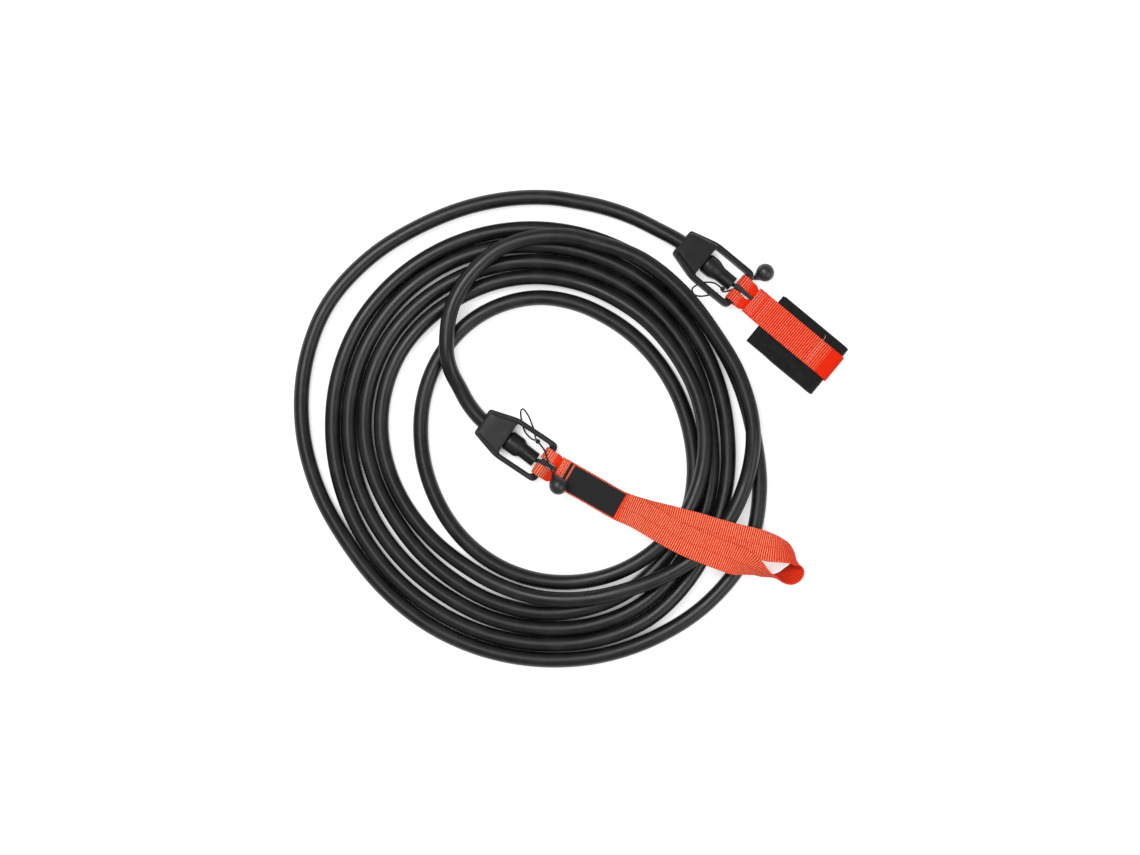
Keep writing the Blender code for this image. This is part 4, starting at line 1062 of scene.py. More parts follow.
@dataclass
class Hose:
    """The rubber hose, one unbroken tube, with the safety cord inside it.

    It runs from its cut end in connector A's window back through the head, out along the tail and
    the coil from its last turn to its first, and through connector B's head to its other cut end.
    """

    centre: Span = (-101.3 * MM, -20.2 * MM)
    first_deg: float = 90.0
    station_deg: float = 30.0
    point_deg: float = 15.0
    points: int = 144
    strand_gap: float = 0.15 * MM
    slack: float = 0.01 * MM
    side_by_side: float = 12.0 * MM
    crossing_gap: float = 1.3 * MM
    hump_fall: float = 4.2 * MM
    bore: float = 3.0 * MM
    bore_depth: float = 11.0 * MM
    rim_inside_mm: tuple[Span, ...] = ((0.5, 0.0), (0.1, 0.15), (0.0, 0.5))
    rim_outside_mm: tuple[Span, ...] = ((0.0, -0.5), (0.12, -0.14), (0.5, 0.0), (1.2, 0.0))
    swollen: float = 8.72 * MM
    swell_from: float = 26.2 * MM
    inside_mm: tuple[float, ...] = (48.0, 41.0, 34.0, 27.0, 20.0, 12.0, 4.0)
    lean_from: tuple[float, ...] = (18.0 * MM, 27.0 * MM, 38.0 * MM)
    lean_inside: float = -1.3 * MM
    unevenness: float = 0.006
    uneven_size: float = 60.0 * MM
    shoulder_a: Span = (37.6 * MM, 42.6 * MM)
    shoulder_b: Span = (33.6 * MM, 43.2 * MM)
    fine: float = 60.0 * MM
    fine_step: float = 1.2 * MM
    row_step: float = 3.6 * MM
    sides: int = 24
    cord_step: float = 7.0 * MM
    cord_sides: int = 8
    path_step: float = 8.0 * MM

    def coil(self) -> Array:
        """Middle line of the coil, counter-clockwise from its outer end.

        Between stations b and c, with a before and d after them, the radius is half of
        2 b + (c - a) t + (2 a - 5 b + 4 c - d) t^2 + (3 b - a - 3 c + d) t^3. A point lies on the
        floor, or over an earlier turn within a hose's width of it by what is left of the pitch:
        sqrt(pitch^2 - apart^2). From point to point it rises and falls by the hump's fall at most.

        Returns:
            Points, one a row.
        """
        stations = np.array([value * MM for row in COIL_RADII_MM for value in row])
        turn = np.arange(self.points) * self.point_deg
        spot = turn / self.station_deg
        index = np.minimum(spot.astype(int), len(stations) - 2)
        near = [stations[np.clip(index + step, 0, len(stations) - 1)] for step in (-1, 0, 1, 2)]
        t = spot - index
        radii = self._settled(0.5 * (
            2 * near[1] + (near[2] - near[0]) * t
            + (2 * near[0] - 5 * near[1] + 4 * near[2] - near[3]) * t ** 2
            + (3 * near[1] - near[0] - 3 * near[2] + near[3]) * t ** 3))
        heights = self._heights(radii)
        angle = np.radians(self.first_deg + turn)
        return np.stack([self.centre[0] + radii * np.cos(angle),
                         self.centre[1] + radii * np.sin(angle), heights], axis=-1)

    def _settled(self, radii: Array) -> Array:
        """Radii after each turn has been moved off the earlier turns that it lies beside.

        The room between two turns that lie side by side is a hose's width and the strand gap,
        times sqrt(1 + slope^2) along the radius where the hose slants to the circle.

        Args:
            radii: Radius of each point as listed.

        Returns:
            The radii.
        """
        lap = int(360 / self.point_deg)
        run = radii * math.radians(self.point_deg)
        slope = np.gradient(radii) / run
        room = (2 * LAYOUT.hose_radius + self.strand_gap) * np.hypot(1.0, slope)
        settled: list[float] = []
        for number, here in enumerate(radii):
            place = here
            for earlier in range(number % lap, number, lap):
                apart, clear = here - radii[earlier], max(room[earlier], room[number])
                if abs(apart) >= self.side_by_side and abs(place - settled[earlier]) < clear:
                    place = settled[earlier] + math.copysign(clear, apart)
            settled.append(place)
        return np.array(settled)

    def _heights(self, radii: Array) -> Array:
        """Height of each coil point over the floor, by the rule that coil() gives.

        Args:
            radii: Radius of each point.

        Returns:
            The heights.
        """
        radius, lap = LAYOUT.hose_radius, int(360 / self.point_deg)
        beside, pitch = 2 * radius + self.strand_gap, 2 * radius + self.crossing_gap
        heights: list[float] = []
        for number, here in enumerate(radii):
            height = max(radius, heights[-1] - self.hump_fall) if heights else radius
            for earlier in range(number - lap, -1, -lap):
                apart = abs(here - radii[earlier])
                if apart < beside - self.slack:
                    height = max(height, heights[earlier] + math.sqrt(pitch ** 2 - apart ** 2))
            heights.append(height)
            for back in range(1, min(number, lap // 2) + 1):
                heights[number - back] = max(heights[number - back],
                                             height - self.hump_fall * back)
        return np.array(heights)

    def route(self) -> Route:
        """Middle line of the whole hose, from cut end A to cut end B.

        Returns:
            The route.
        """
        run = np.append(LAYOUT.hose_end, np.array(self.inside_mm) * MM)
        lean = np.interp(run, [*self.lean_from, LAYOUT.hose_end],
                         [0.0, self.lean_inside * 0.7, self.lean_inside, LAYOUT.hose_lean])
        inside_a = LAYOUT.a.put(np.stack([run, lean, 0 * run], axis=-1))
        inside_b = LAYOUT.b.put(np.stack([run, 0 * run, 0 * run], axis=-1)[::-1])
        return Route(np.vstack([inside_a, np.array(TAIL_MM[::-1]) * MM, self.coil()[::-1],
                                np.array(LEAD_MM) * MM, inside_b]), samples=10)

    def radius(self, run: Array, length: float) -> Array:
        """Outer radius by distance: plain, swollen over the plug in each connector's window.

        Args:
            run: Distances along the hose.
            length: Length of the hose.

        Returns:
            The radius at each distance.
        """
        plain = LAYOUT.hose_radius
        result = np.full_like(run, plain)
        for along, shoulder in ((LAYOUT.hose_end - run, self.shoulder_a),
                                (LAYOUT.hose_end - (length - run), self.shoulder_b)):
            rise = between(along, self.swell_from - 1.2 * MM, self.swell_from + 1.4 * MM)
            fall = 1.0 - between(along, *shoulder)
            result = result + (self.swollen - plain) * np.minimum(rise, fall)
        return result * (1.0 + self.unevenness * ripple(run, 0 * run, self.uneven_size, 5))

    def build(self) -> list[Piece]:
        """Make the hose and the cord inside it, and declare both.

        Each cut end is turned in: the bottom of its bore, then the rim's rows, whose distances
        from the end and over the bore's or the hose's radius its two tables give.

        Returns:
            The two pieces.
        """
        route = self.route()
        length, outer, deep = route.length, LAYOUT.hose_radius, self.bore_depth
        inside, outside = np.array(self.rim_inside_mm) * MM, np.array(self.rim_outside_mm) * MM
        end_run = np.concatenate([[deep, deep], inside[:, 0], outside[:, 0]])
        end_radius = np.concatenate([[0.0, self.bore], self.bore + inside[:, 1],
                                     outer + outside[:, 1]])
        near = np.arange(2 * self.fine_step, self.fine, self.fine_step)
        body = np.concatenate([near, np.arange(self.fine, length - self.fine, self.row_step),
                               length - near[::-1]])
        run = np.concatenate([end_run, body, length - end_run[::-1]])
        radii = np.concatenate([end_radius, self.radius(body, length), end_radius[::-1]])
        grid, chart = tube_grid(route, run, radii, self.sides)
        hose = Surface("rubber_hose").add(grid, chart).build(RubberFinish().material(),
                                                            sharp_deg=60)
        dress(hose, Slot.RUBBER, Body.HOSE, "hose_coil", "hose_lead", "hose_tail", "hose_end_a",
              "hose_end_b")
        cord = solid_tube("safety_cord_inside", route, LAYOUT.cord_radius, self.cord_step,
                          self.cord_sides).build(BraidFinish("braided_cord_inside").material())
        dress(cord, Slot.CORD, Body.HOSE, "safety_cord")
        line = route.at(np.linspace(0.0, length, int(length / self.path_step))).tolist()
        for piece, radius, stiffness in ((hose, outer, "medium"),
                                         (cord, LAYOUT.cord_radius, "limp")):
            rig.cord(piece, exit=line[0], length=length, diameter=2 * radius, far_end="object",
                    stiffness=stiffness, lay="coiled", path=line)
        log.info("hose: %.3f m, %d rows", length, len(run))
        return [hose, cord]


@dataclass
class CordEnd:
    """The safety cord's end: out of the hose, over the crossbar and into the webbing."""

    letter: str
    place: Place
    lean: float
    bodies: tuple[Body, Body]
    start: float = 47.0 * MM
    over_bar_deg: tuple[float, ...] = (152.0, 130.0, 105.0, 80.0, 58.0)
    step: float = 0.7 * MM
    sides: int = 14
    path_points: int = 40
    dive: float = 15.0 * MM
    dive_height: float = 2.3 * MM

    def build(self) -> Piece:
        """Its middle line rises from the bore to a circle about the crossbar, whose radius is that of
        the bar and the cord with the gap between, and falls to its place between the plies.

        Returns:
            The piece.
        """
        radius = LAYOUT.bar_radius + LAYOUT.gap + LAYOUT.cord_radius
        bar = LAYOUT.crossbar
        angle = np.radians(np.array(self.over_bar_deg))
        ring = np.stack([bar + radius * np.cos(angle), 0 * angle, radius * np.sin(angle)], axis=-1)
        ring[:, 1] = np.linspace(self.lean * 0.6, 0.0, len(angle))
        lead = np.array([[self.start, self.lean, 0.0], [self.start + 4 * MM, self.lean, 0.0],
                         [LAYOUT.hose_end + 0.2 * MM, self.lean, 0.5 * MM]])
        tail = np.array([[bar + 7.5 * MM, 0.2 * MM, 3.3 * MM],
                         [bar + 11 * MM, 0.5 * MM, self.dive_height + 0.3 * MM],
                         [bar + self.dive, 0.8 * MM, self.dive_height]])
        route = Route(self.place.put(np.vstack([lead, ring, tail])))
        finish = BraidFinish("braided_cord_" + self.letter)
        piece = solid_tube("safety_cord_tip_" + self.letter, route, LAYOUT.cord_radius, self.step,
                           self.sides).build(finish.material())
        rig.replaces(piece, "safety_cord_end_" + self.letter)
        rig.blend(piece, *(body.value for body in self.bodies),
                 start=self.place.spot(bar - 5.5 * MM), end=self.place.spot(bar + 1.5 * MM))
        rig.slot(piece, Slot.CORD.value)
        line = route.at(np.linspace(0.0, route.length, self.path_points)).tolist()
        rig.cord(piece, exit=line[0], length=route.length, diameter=2 * LAYOUT.cord_radius,
                far_end="object", stiffness="limp", lay="taut", path=line)
        log.info("safety cord end %s: %.1f mm", self.letter, route.length / MM)
        return piece


# Connectors

@dataclass
class Connector:
    """Moulded connector: a closed frame round the window, and the thick head with face plates."""

    letter: str
    place: Place
    body: Body
    length: float = 65.2 * MM
    back_width: float = 24.0 * MM
    width: float = 38.0 * MM
    widest: float = 24.5 * MM
    head: float = 26.0 * MM
    leg: float = 4.3 * MM
    half_height: float = 4.5 * MM
    groove: float = 0.14 * MM
    plate_half: float = 9.0 * MM
    plate_start: float = 1.2 * MM
    plate_end: float = 25.8 * MM
    plate_margin_back: float = 1.5 * MM
    plate_margin_front: float = 2.8 * MM
    chamfer: float = 1.8 * MM
    bore: float = 6.75 * MM
    edge: float = 1.5 * MM
    outer_reach_mm: tuple[float, ...] = (2.2, 2.2, 5.0, 6.2, 6.2, 5.0)
    inner_reach_mm: tuple[float, ...] = (1.0, 1.0, 2.2, 3.4, 3.4, 2.2)
    inner_middle: float = 5.0 * MM
    section_deg: tuple[float, ...] = (0.0, 18.0, 36.0, 54.0, 72.0, 90.0)
    turns_round: Span = (13.4 * MM, 15.8 * MM)
    front_half: float = 40.0 * MM
    groove_half: float = 0.2 * MM
    girth: float = 26.0 * MM
    plate_inset_mm: tuple[float, ...] = (0.55, 0.16, 0.0, 0.0, 0.0, 0.0, 0.0, 0.35, 1.25)
    softened: float = 0.35 * MM

    def _frame_grid(self) -> Grid:
        """Frame round the window.

        Outer and inner outline have matching points. A section between them is a rounded box:
        inset e (1 - cos a) and height h - e (1 - sin a) at each edge. Towards the crossbar, height
        and edge become the bar's radius, so that the section turns round.

        Returns:
            Its grid and its chart.
        """
        half, back, inner = self.width / 2, self.back_width / 2, self.width / 2 - self.leg
        bar = LAYOUT.crossbar - LAYOUT.bar_radius
        outer_corners = np.array([[0.0, -back], [0.0, back], [self.widest, half],
                                  [self.length, half], [self.length, -half],
                                  [self.widest, -half]])
        inner_corners = np.array([[self.head, -self.inner_middle], [self.head, self.inner_middle],
                                  [self.head, inner], [bar, inner], [bar, -inner],
                                  [self.head, -inner]])
        outer = rounded_loop(outer_corners, np.array(self.outer_reach_mm) * MM, 9, 9)
        inside = rounded_loop(inner_corners, np.array(self.inner_reach_mm) * MM, 9, 9)
        across = np.abs(inside[:, 1]) * 0.5 + np.abs(outer[:, 1]) * 0.5
        at_bar = (1 - between(across, *self.turns_round)) * (inside[:, 0] > self.front_half)
        height = self.half_height * (1 - at_bar) + LAYOUT.bar_radius * at_bar
        edge = self.edge * (1 - at_bar) + LAYOUT.bar_radius * at_bar
        angle = np.radians(np.array(self.section_deg))
        inset = edge[:, None] * (1 - np.cos(angle))[None]
        level = height[:, None] - edge[:, None] * (1 - np.sin(angle))[None]
        groove = np.where(at_bar < 0.5, self.groove, 0.0)[:, None]
        zero, slight = 0 * groove, 0 * groove + self.groove_half
        wall_in = np.hstack([zero, groove, zero])
        wall_up = np.hstack([slight, zero, -slight])
        depth = np.hstack([inset, inset[:, ::-1], wall_in, inset, inset[:, ::-1], wall_in,
                           inset[:, :1]])
        lift = np.hstack([level, level[:, ::-1], wall_up, -level, -level[:, ::-1], -wall_up,
                          level[:, :1]])
        count = len(angle)
        from_outer = np.concatenate([np.ones(count), np.zeros(2 * count + 3),
                                     np.ones(count + 3), [1.0]]).astype(bool)
        step = unit(inside - outer)
        flat = np.where(from_outer[None, :, None],
                        outer[:, None] + step[:, None] * depth[..., None],
                        inside[:, None] - step[:, None] * depth[..., None])
        grid = np.concatenate([flat, lift[..., None]], axis=-1)
        run = np.concatenate([[0.0], np.cumsum(np.linalg.norm(np.diff(outer, axis=0), axis=1))])
        around = np.linspace(0.0, self.girth, grid.shape[1])
        return self.place.put(grid), np.stack(np.broadcast_arrays(run[:, None], around), axis=-1)

    def _head_grid(self) -> Grid:
        """Thick head with its two face plates, bored for the hose.

        A section at x is a chamfered box, whose half width goes in a straight line from the back
        to the front. The first and last rows are the bore's circle, so that the grid closes.

        Returns:
            Its grid and its chart.
        """
        back = self.back_width / 2 - self.plate_margin_back
        front = self.width / 2 - self.plate_margin_front
        inset = np.array(self.plate_inset_mm) * MM
        long = self.plate_end - self.plate_start
        run = np.concatenate([[0.0, 0.16 * MM, 0.55 * MM],
                              np.linspace(2 * MM, long - 2.2 * MM, 4), [long - 1.25 * MM, long]])
        x = self.plate_end - run
        half = back + (front - back) * (x - self.plate_start) / long
        rows = [self._section(w - i, self.plate_half - i) for w, i in zip(half, inset)]
        angle = np.arctan2(rows[0][:, 1], rows[0][:, 0])
        ring = self.bore * np.stack([np.cos(angle), np.sin(angle)], axis=-1)
        sections = np.stack([ring] + rows + [ring, ring])
        xs = np.concatenate([[x[0]], x, [x[-1]], [x[0]]])
        grid = np.concatenate([np.broadcast_to(xs[:, None, None], (*sections.shape[:2], 1)),
                               sections], axis=-1)
        return self.place.put(grid), np.stack([grid[..., 0], grid[..., 1]], axis=-1)

    def _section(self, half: float, height: float) -> Array:
        """Chamfered box of one section, with softened corners.

        Args:
            half: Half of its width.
            height: Half of its height.

        Returns:
            Its outline, with the first point repeated at the end.
        """
        c = self.chamfer
        corners = np.array([[half, -(height - c)], [half, height - c], [half - c, height],
                            [-(half - c), height], [-half, height - c], [-half, -(height - c)],
                            [-(half - c), -height], [half - c, -height]])
        return rounded_loop(corners, np.full(8, self.softened), 4, 5)

    def build(self) -> Piece:
        """Make the connector and dress it.

        Returns:
            The connector.
        """
        material = MouldedFinish("moulded_black_" + self.letter).material()
        piece = Surface("moulded_connector_" + self.letter).add(*self._frame_grid()).add(
            *self._head_grid()).build(material, sharp_deg=38)
        log.info("connector %s: %d faces", self.letter, len(piece.data.polygons))
        return dress(piece, Slot.MOULDED, self.body, "connector_" + self.letter)


# Toggles

# Balls, knots and cords, each in its connector's frame.
BALL_A_MM: Point = (82.6, -9.4, 12.4)
KNOT_A_MM: Point = (48.2, 11.7, 6.5)
LEASH_A_MM: tuple[Point, ...] = (
    (67.6, 0.2, 6.4), (63.4, 3.2, 5.9), (60.6, 5.8, 5.8), (57.2, 8.4, 6.2), (52.0, 10.4, 6.6),
    (49.4, 11.3, 6.6), (48.2, 11.6, 6.4), (47.0, 11.9, 6.2),
)
LEG_LOOP_A_MM: tuple[Point, ...] = (
    (47.0, 11.9, 6.4), (44.6, 13.4, 6.6), (42.0, 16.4, 6.2), (36.5, 20.6, 5.6),
    (29.1, 25.4, 4.2), (22.9, 27.3, 1.0), (22.2, 24.8, -3.4), (25.3, 20.4, -6.0),
    (30.5, 15.4, -6.2), (35.0, 12.2, -3.4), (39.4, 11.0, 1.6), (43.0, 10.6, 4.8),
    (46.2, 11.4, 6.0),
)
BALL_B_MM: Point = (70.1, 25.6, 1.3)
KNOT_B_MM: Point = (51.4, -9.9, 5.6)
CORD_B_MM: tuple[Point, ...] = (
    (65.6, 16.0, -6.0), (63.6, 11.0, -7.4), (60.0, 3.0, -8.6), (56.0, -4.6, -8.2),
    (53.4, -8.6, -5.0), (52.6, -9.6, 0.6), (52.4, -9.7, 4.2), (51.6, -9.8, 5.6),
    (50.2, -9.9, 6.0), (48.0, -10.0, 6.0), (44.0, -10.4, 6.2), (38.4, -13.6, 6.0),
    (33.2, -20.4, 5.6), (32.0, -25.9, 3.4), (35.3, -27.4, 0.0), (40.2, -24.9, -4.0),
    (44.2, -20.5, -6.2), (48.4, -14.6, -6.2), (50.4, -12.4, -4.0),
)


@dataclass
class Toggle:
    """A ball with a tapering neck, on a thin cord that is knotted round the connector's leg."""

    letter: str
    place: Place
    ball_mm: Point
    route_mm: tuple[Point, ...]
    knot_mm: Point
    loop_mm: tuple[Point, ...] = ()
    ball_radius: float = 7.5 * MM
    shoulder_deg: float = 44.0
    hollow_pull: float = 3.6 * MM
    neck_length: float = 3.8 * MM
    neck_radius: float = 1.7 * MM
    cord_radius: float = 0.7 * MM
    leash_girth: float = 1.05
    neck_round: float = 0.3 * MM
    cord_in_neck: float = 0.6 * MM
    path_points: int = 60
    knot_length: float = 3.0 * MM
    knot_turns: float = 3.2

    def _ball(self) -> tuple[Piece, Array]:
        """Make the ball.

        Its profile is the circle r = sqrt(R^2 - h^2) as far as its shoulder, then a hollow curve
        down to the neck.

        Returns:
            The ball, and the neck's end in the connector's frame.
        """
        centre = np.array(self.ball_mm) * MM
        axis = unit(np.array(self.route_mm[0]) * MM - centre)
        big, top = self.ball_radius, self.ball_radius + self.neck_length
        turn = np.radians(np.linspace(-90.0, self.shoulder_deg, 22))
        circle = np.stack([big * np.cos(turn), big * np.sin(turn)], axis=-1)
        t = np.linspace(0.0, 1.0, 9)[1:, None]
        start = circle[-1]
        pull = start + np.array([-math.sin(turn[-1]), math.cos(turn[-1])]) * self.hollow_pull
        hollow = (1 - t) ** 2 * start + 2 * t * (1 - t) * pull + t ** 2 * np.array(
            [self.neck_radius, top - self.neck_round])
        close = np.array([[self.neck_radius - self.neck_round, top], [0.0, top]])
        profile = np.vstack([circle, hollow, close])
        profile[0, 0] = 0.0
        grid, chart = turned_grid(profile, 40, self.place.put(centre[None])[0],
                                  self.place.aim(axis[None])[0])
        finish = MouldedFinish("moulded_ball_" + self.letter, base=(0.010, 0.010, 0.0105),
                               grain_depth=0.00003, roughness=0.42, gloss=0.75)
        ball = Surface("toggle_knob_" + self.letter).add(grid, chart).build(finish.material())
        return ball, centre + axis * (top - self.cord_in_neck)

    def _knot(self) -> Piece:
        """Make the knot: the cord wound into a barrel along the connector's X.

        For s from 0 to 1 along it, the winding's radius is the cord's times 1 + 1.1 sin(pi s).

        Returns:
            The knot.
        """
        s = np.linspace(0.0, 1.0, 61)
        turn = 2 * math.pi * self.knot_turns * s
        wide = self.cord_radius * (1.0 + 1.1 * np.sin(math.pi * s))
        line = np.stack([(s - 0.5) * self.knot_length, wide * np.cos(turn), wide * np.sin(turn)],
                        axis=-1) + np.array(self.knot_mm) * MM
        route = Route(self.place.put(line), 4)
        finish = BraidFinish("thin_cord_knot_" + self.letter, dark=(0.002, 0.002, 0.002),
                             light=(0.014, 0.014, 0.014), pitch=0.9 * MM)
        return solid_tube("toggle_knot_" + self.letter, route, self.cord_radius, 0.3 * MM, 10
                          ).build(finish.material())

    def _cord(self, name: str, points: Array, girth: float = 1.0, **facts: object) -> Piece:
        """Args:
            name: Its name.
            points: Points of its middle line.
            girth: Its radius over the thin cord's.

        Returns:
            The cord.
        """
        route = Route(self.place.put(points))
        finish = BraidFinish("thin_cord_" + name, dark=(0.002, 0.002, 0.002),
                             light=(0.012, 0.012, 0.012), pitch=0.9 * MM)
        piece = solid_tube(name, route, self.cord_radius * girth, 0.8 * MM, 12
                           ).build(finish.material())
        line = route.at(np.linspace(0.0, route.length, self.path_points)).tolist()
        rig.cord(piece, exit=line[0], length=route.length, diameter=2 * self.cord_radius,
                path=line, stiffness="limp", **facts)
        log.info("%s: %.1f mm", name, route.length / MM)
        return piece

    def build(self) -> list[Piece]:
        """Make the ball, its cords and the knot, and set what they ride on.

        Returns:
            The ball, the knot and the cords.
        """
        hanging = self.letter == "a"
        body = Body.CONNECTOR_A if hanging else Body.CONNECTOR_B
        ball, neck = self._ball()
        dress(ball, Slot.MOULDED, Body.HAND_STRAP if hanging else body,
              "toggle_ball_" + self.letter)
        knot = dress(self._knot(), Slot.CORD, body)
        line = np.vstack([neck[None], np.array(self.route_mm) * MM])[::-1]
        if not hanging:
            cord = self._cord("toggle_cord", line, far_end="fitting", lay="loose",
                              with_pieces=[ball, knot])
            return [ball, knot, dress(cord, Slot.CORD, body, "toggle_cord_b")]
        leash = self._cord("toggle_leash", line, self.leash_girth, far_end="fitting", lay="taut",
                           with_pieces=[ball, knot])
        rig.replaces(leash, "toggle_leash_a")
        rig.slot(leash, Slot.CORD.value)
        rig.blend(leash, body.value, Body.HAND_STRAP.value, start=self.place.spot(51 * MM),
                 end=self.place.spot(69 * MM))
        loop = self._cord("toggle_leg_loop", np.array(self.loop_mm) * MM, far_end="knot",
                          lay="loose")
        return [ball, knot, leash, dress(loop, Slot.CORD, body, "toggle_loop_a")]


# Webbing, tape and thread

@dataclass
class Strap:
    """A flat strip of cloth: a thin rounded box carried along its middle line."""

    centres: Array
    sides: Array
    width: float = LAYOUT.webbing_width
    thickness: float = LAYOUT.webbing_thickness
    rib: float = 2.1 * MM
    rib_depth: float = 0.16 * MM
    serration: float = 0.14 * MM
    columns: int = 15
    step: float = 0.525 * MM
    end_rows: Span = (0.06 * MM, 0.35 * MM)
    heading_reach: float = 0.8 * MM
    nap: float = 0.0
    nap_size: float = 1.6 * MM
    near: float = -1.0
    far: float = 1.0
    narrow: Along | None = None

    def grid(self) -> Grid:
        """Work out the strip.

        Row s has the point centre + side * w x / 2 + normal * z, with x from near to far. The face
        z is half the thickness, less the rib's depth times sin^2(pi s / rib), and the edge is
        round. The strip's edge goes in and out by the serration. Nap adds soft unevenness.

        Returns:
            Its grid and its chart.
        """
        route = Route(np.hstack([self.centres, self.sides]), 12)
        count = max(4, int(route.length / self.step))
        first, second = self.end_rows
        inner = np.linspace(second, route.length - second, count)
        run = np.concatenate([[0.0, first], inner, route.length - np.array([first, 0.0])])
        shut = np.concatenate([[0.0, 0.62], np.ones(count), [0.62, 0.0]])
        values = route.at(run)
        heading = route.heading(run, self.heading_reach)
        side = unit(values[:, 3:6] - heading * np.sum(values[:, 3:6] * heading, axis=1)[:, None])
        normal = np.cross(heading, side)
        wave = np.sin(math.pi * run / self.rib) ** 2
        rim = np.array([0.0, 0.10, 0.30]) * self.thickness
        half = self.width / 2
        near, far = self.near * half, self.far * half
        across = np.concatenate([near + rim, np.linspace(near, far, self.columns)[1:-1],
                                 (far - rim)[::-1]])
        lift = np.concatenate([[0.0, 0.6, 0.92], np.ones(self.columns - 2), [0.92, 0.6, 0.0]])
        across = across[None, :] * np.ones((len(run), 1))
        at_edge = np.sign(across) * (np.abs(across) > half * 0.9)
        across = across - at_edge * self.serration * wave[:, None]
        if self.narrow is not None:
            across = self.narrow(run)[:, None] + across
        face = self.thickness / 2 - self.rib_depth * wave[:, None] * lift[None]
        top = face * lift[None] * shut[:, None]
        sheet = run[:, None] + 0 * across
        rough = self.nap * lift[None] * shut[:, None]
        upper, lower = (carry(values[:, :3], side, normal, np.stack(
            [across, sign * (top + rough * ripple(sheet, across, self.nap_size, seed))], axis=-1))
            for sign, seed in ((1, 11), (-1, 23)))
        chart = np.stack([np.hstack([sheet, sheet]), np.hstack([across, across[:, ::-1]])],
                         axis=-1)
        return np.concatenate([upper, lower[:, ::-1]], axis=1), chart


def zigzag(first: float, last: float, reach: float, pitch: float, height: Over,
           drift: Along) -> Array:
    """Thread of a zigzag across a strap.

    The needle goes from one side of the band to the other, a pitch further each time. Between two
    holes the thread rises as sin(pi t) over the cloth, and it dips under at each hole.

    Args:
        first: Start of the band along the strap.
        last: End of the band.
        reach: Half of the seam's length across the strap.
        pitch: Distance between two holes on the same side, halved.
        height: Height of the cloth by place along and across.
        drift: Sideways drift of the strap by place along.

    Returns:
        Points of the thread's middle line, from the crossbar.
    """
    count = int(2 * reach / pitch)
    hole = np.arange(count + 1)
    along = np.where(hole % 2 == 0, first, last)
    across = -reach + 2 * reach * hole / count
    t = np.array([0.0, 0.14, 0.5, 0.86])[None, :]
    x = (along[:-1, None] * (1 - t) + along[1:, None] * t).ravel()
    y = (across[:-1, None] * (1 - t) + across[1:, None] * t).ravel()
    rise = np.tile(np.array([-0.9, 0.55, 1.0, 0.55]) * LAYOUT.thread, count)
    return np.stack([x, y + drift(x), height(x, y) + rise], axis=-1)


def sewn(place: Place, line: Array) -> Surface:
    """Thread along a line that is given from the crossbar of the connector at the place."""
    route = Route(place.put(line + np.array([LAYOUT.crossbar, 0.0, 0.0])), 4)
    return solid_tube("seam", route, LAYOUT.thread, 0.35 * MM, 7)


def straight(along: Array) -> Array:
    """Neither drift nor roll anywhere along a strap."""
    return 0.0 * np.asarray(along)


def wrap_line(end: float) -> Array:
    """Middle line of webbing round the crossbar, in its upright plane, from the lower ply's end.

    The two plies lie at plus and minus half a ply step, and meet the circle about the bar.

    Args:
        end: Where both plies end, from the crossbar's axis.

    Returns:
        Places along and heights.
    """
    radius = LAYOUT.bar_radius + LAYOUT.gap + LAYOUT.webbing_thickness / 2
    close, meet = LAYOUT.ply / 2, 2 * radius
    angle = np.radians(-60.0 - 240.0 * np.arange(13) / 12)
    ring = np.stack([radius * np.cos(angle), radius * np.sin(angle)], axis=-1)
    run = np.array([end, (end + meet) / 2, meet + 2 * MM, meet])
    low = np.stack([run, np.full(4, -close)], axis=-1)
    return np.vstack([low, ring, low[::-1] * np.array([1.0, -1.0])])


def from_bar(place: Place, line: Array, drift: Along, roll: Along) -> Grid:
    """Carry a strap's line from its upright plane into the part's frame.

    A place at height z with roll r has its middle at (x, drift - z sin r, z cos r), and its width
    along (0, cos r, sin r).

    Args:
        place: Frame of the crossbar's connector.
        line: Places along from the crossbar's axis, and heights.
        drift: Sideways drift by place along.
        roll: Roll by place along, in radians.

    Returns:
        Middles and width directions.
    """
    along, height = line[:, 0], line[:, 1]
    turn = roll(along)
    middle = np.stack([along + LAYOUT.crossbar, drift(along) - height * np.sin(turn),
                       height * np.cos(turn)], axis=-1)
    side = np.stack([0 * along, np.cos(turn), np.sin(turn)], axis=-1)
    return place.put(middle), place.aim(side)


# Half of the slit for the safety cord, where it closes each way from the bar, and a lobe's share.
SLIT = 2.35 * MM
SLIT_CLOSES: Span = (16.0 * MM, 21.0 * MM)
LOBE = 0.812


def lobes(name: str, place: Place, end: float, drift: Along, roll: Along) -> Surface:
    """Webbing round the crossbar, slit down its middle for the safety cord.

    Round the bar each lobe is moved out by half the slit, and it comes back to the middle where
    the plies lie on each other. A lobe's width is its share of half the webbing's.

    Args:
        name: Name of the piece.
        place: Frame of the crossbar's connector.
        end: Where both plies end.
        drift: Sideways drift by place along.
        roll: Roll by place along.

    Returns:
        The surface.
    """
    centres, sides = from_bar(place, wrap_line(end), drift, roll)
    middle = Route(np.hstack([centres, sides]), 12).length / 2
    surface = Surface(name)
    for sign in (-1, 1):
        def narrow(run: Array, sign: int = sign) -> Array:
            """Sideways shift of one lobe: half the slit, closing away from the bar."""
            return sign * SLIT * (1 - between(np.abs(run - middle), *SLIT_CLOSES))

        grid, chart = Strap(centres, sides, rib=LAYOUT.cuff_rib, near=min(0.0, sign * LOBE),
                            far=max(0.0, sign * LOBE), columns=9, narrow=narrow).grid()
        surface.add(grid, chart + np.array([0.0, sign * 0.1 * MM]))
    return surface


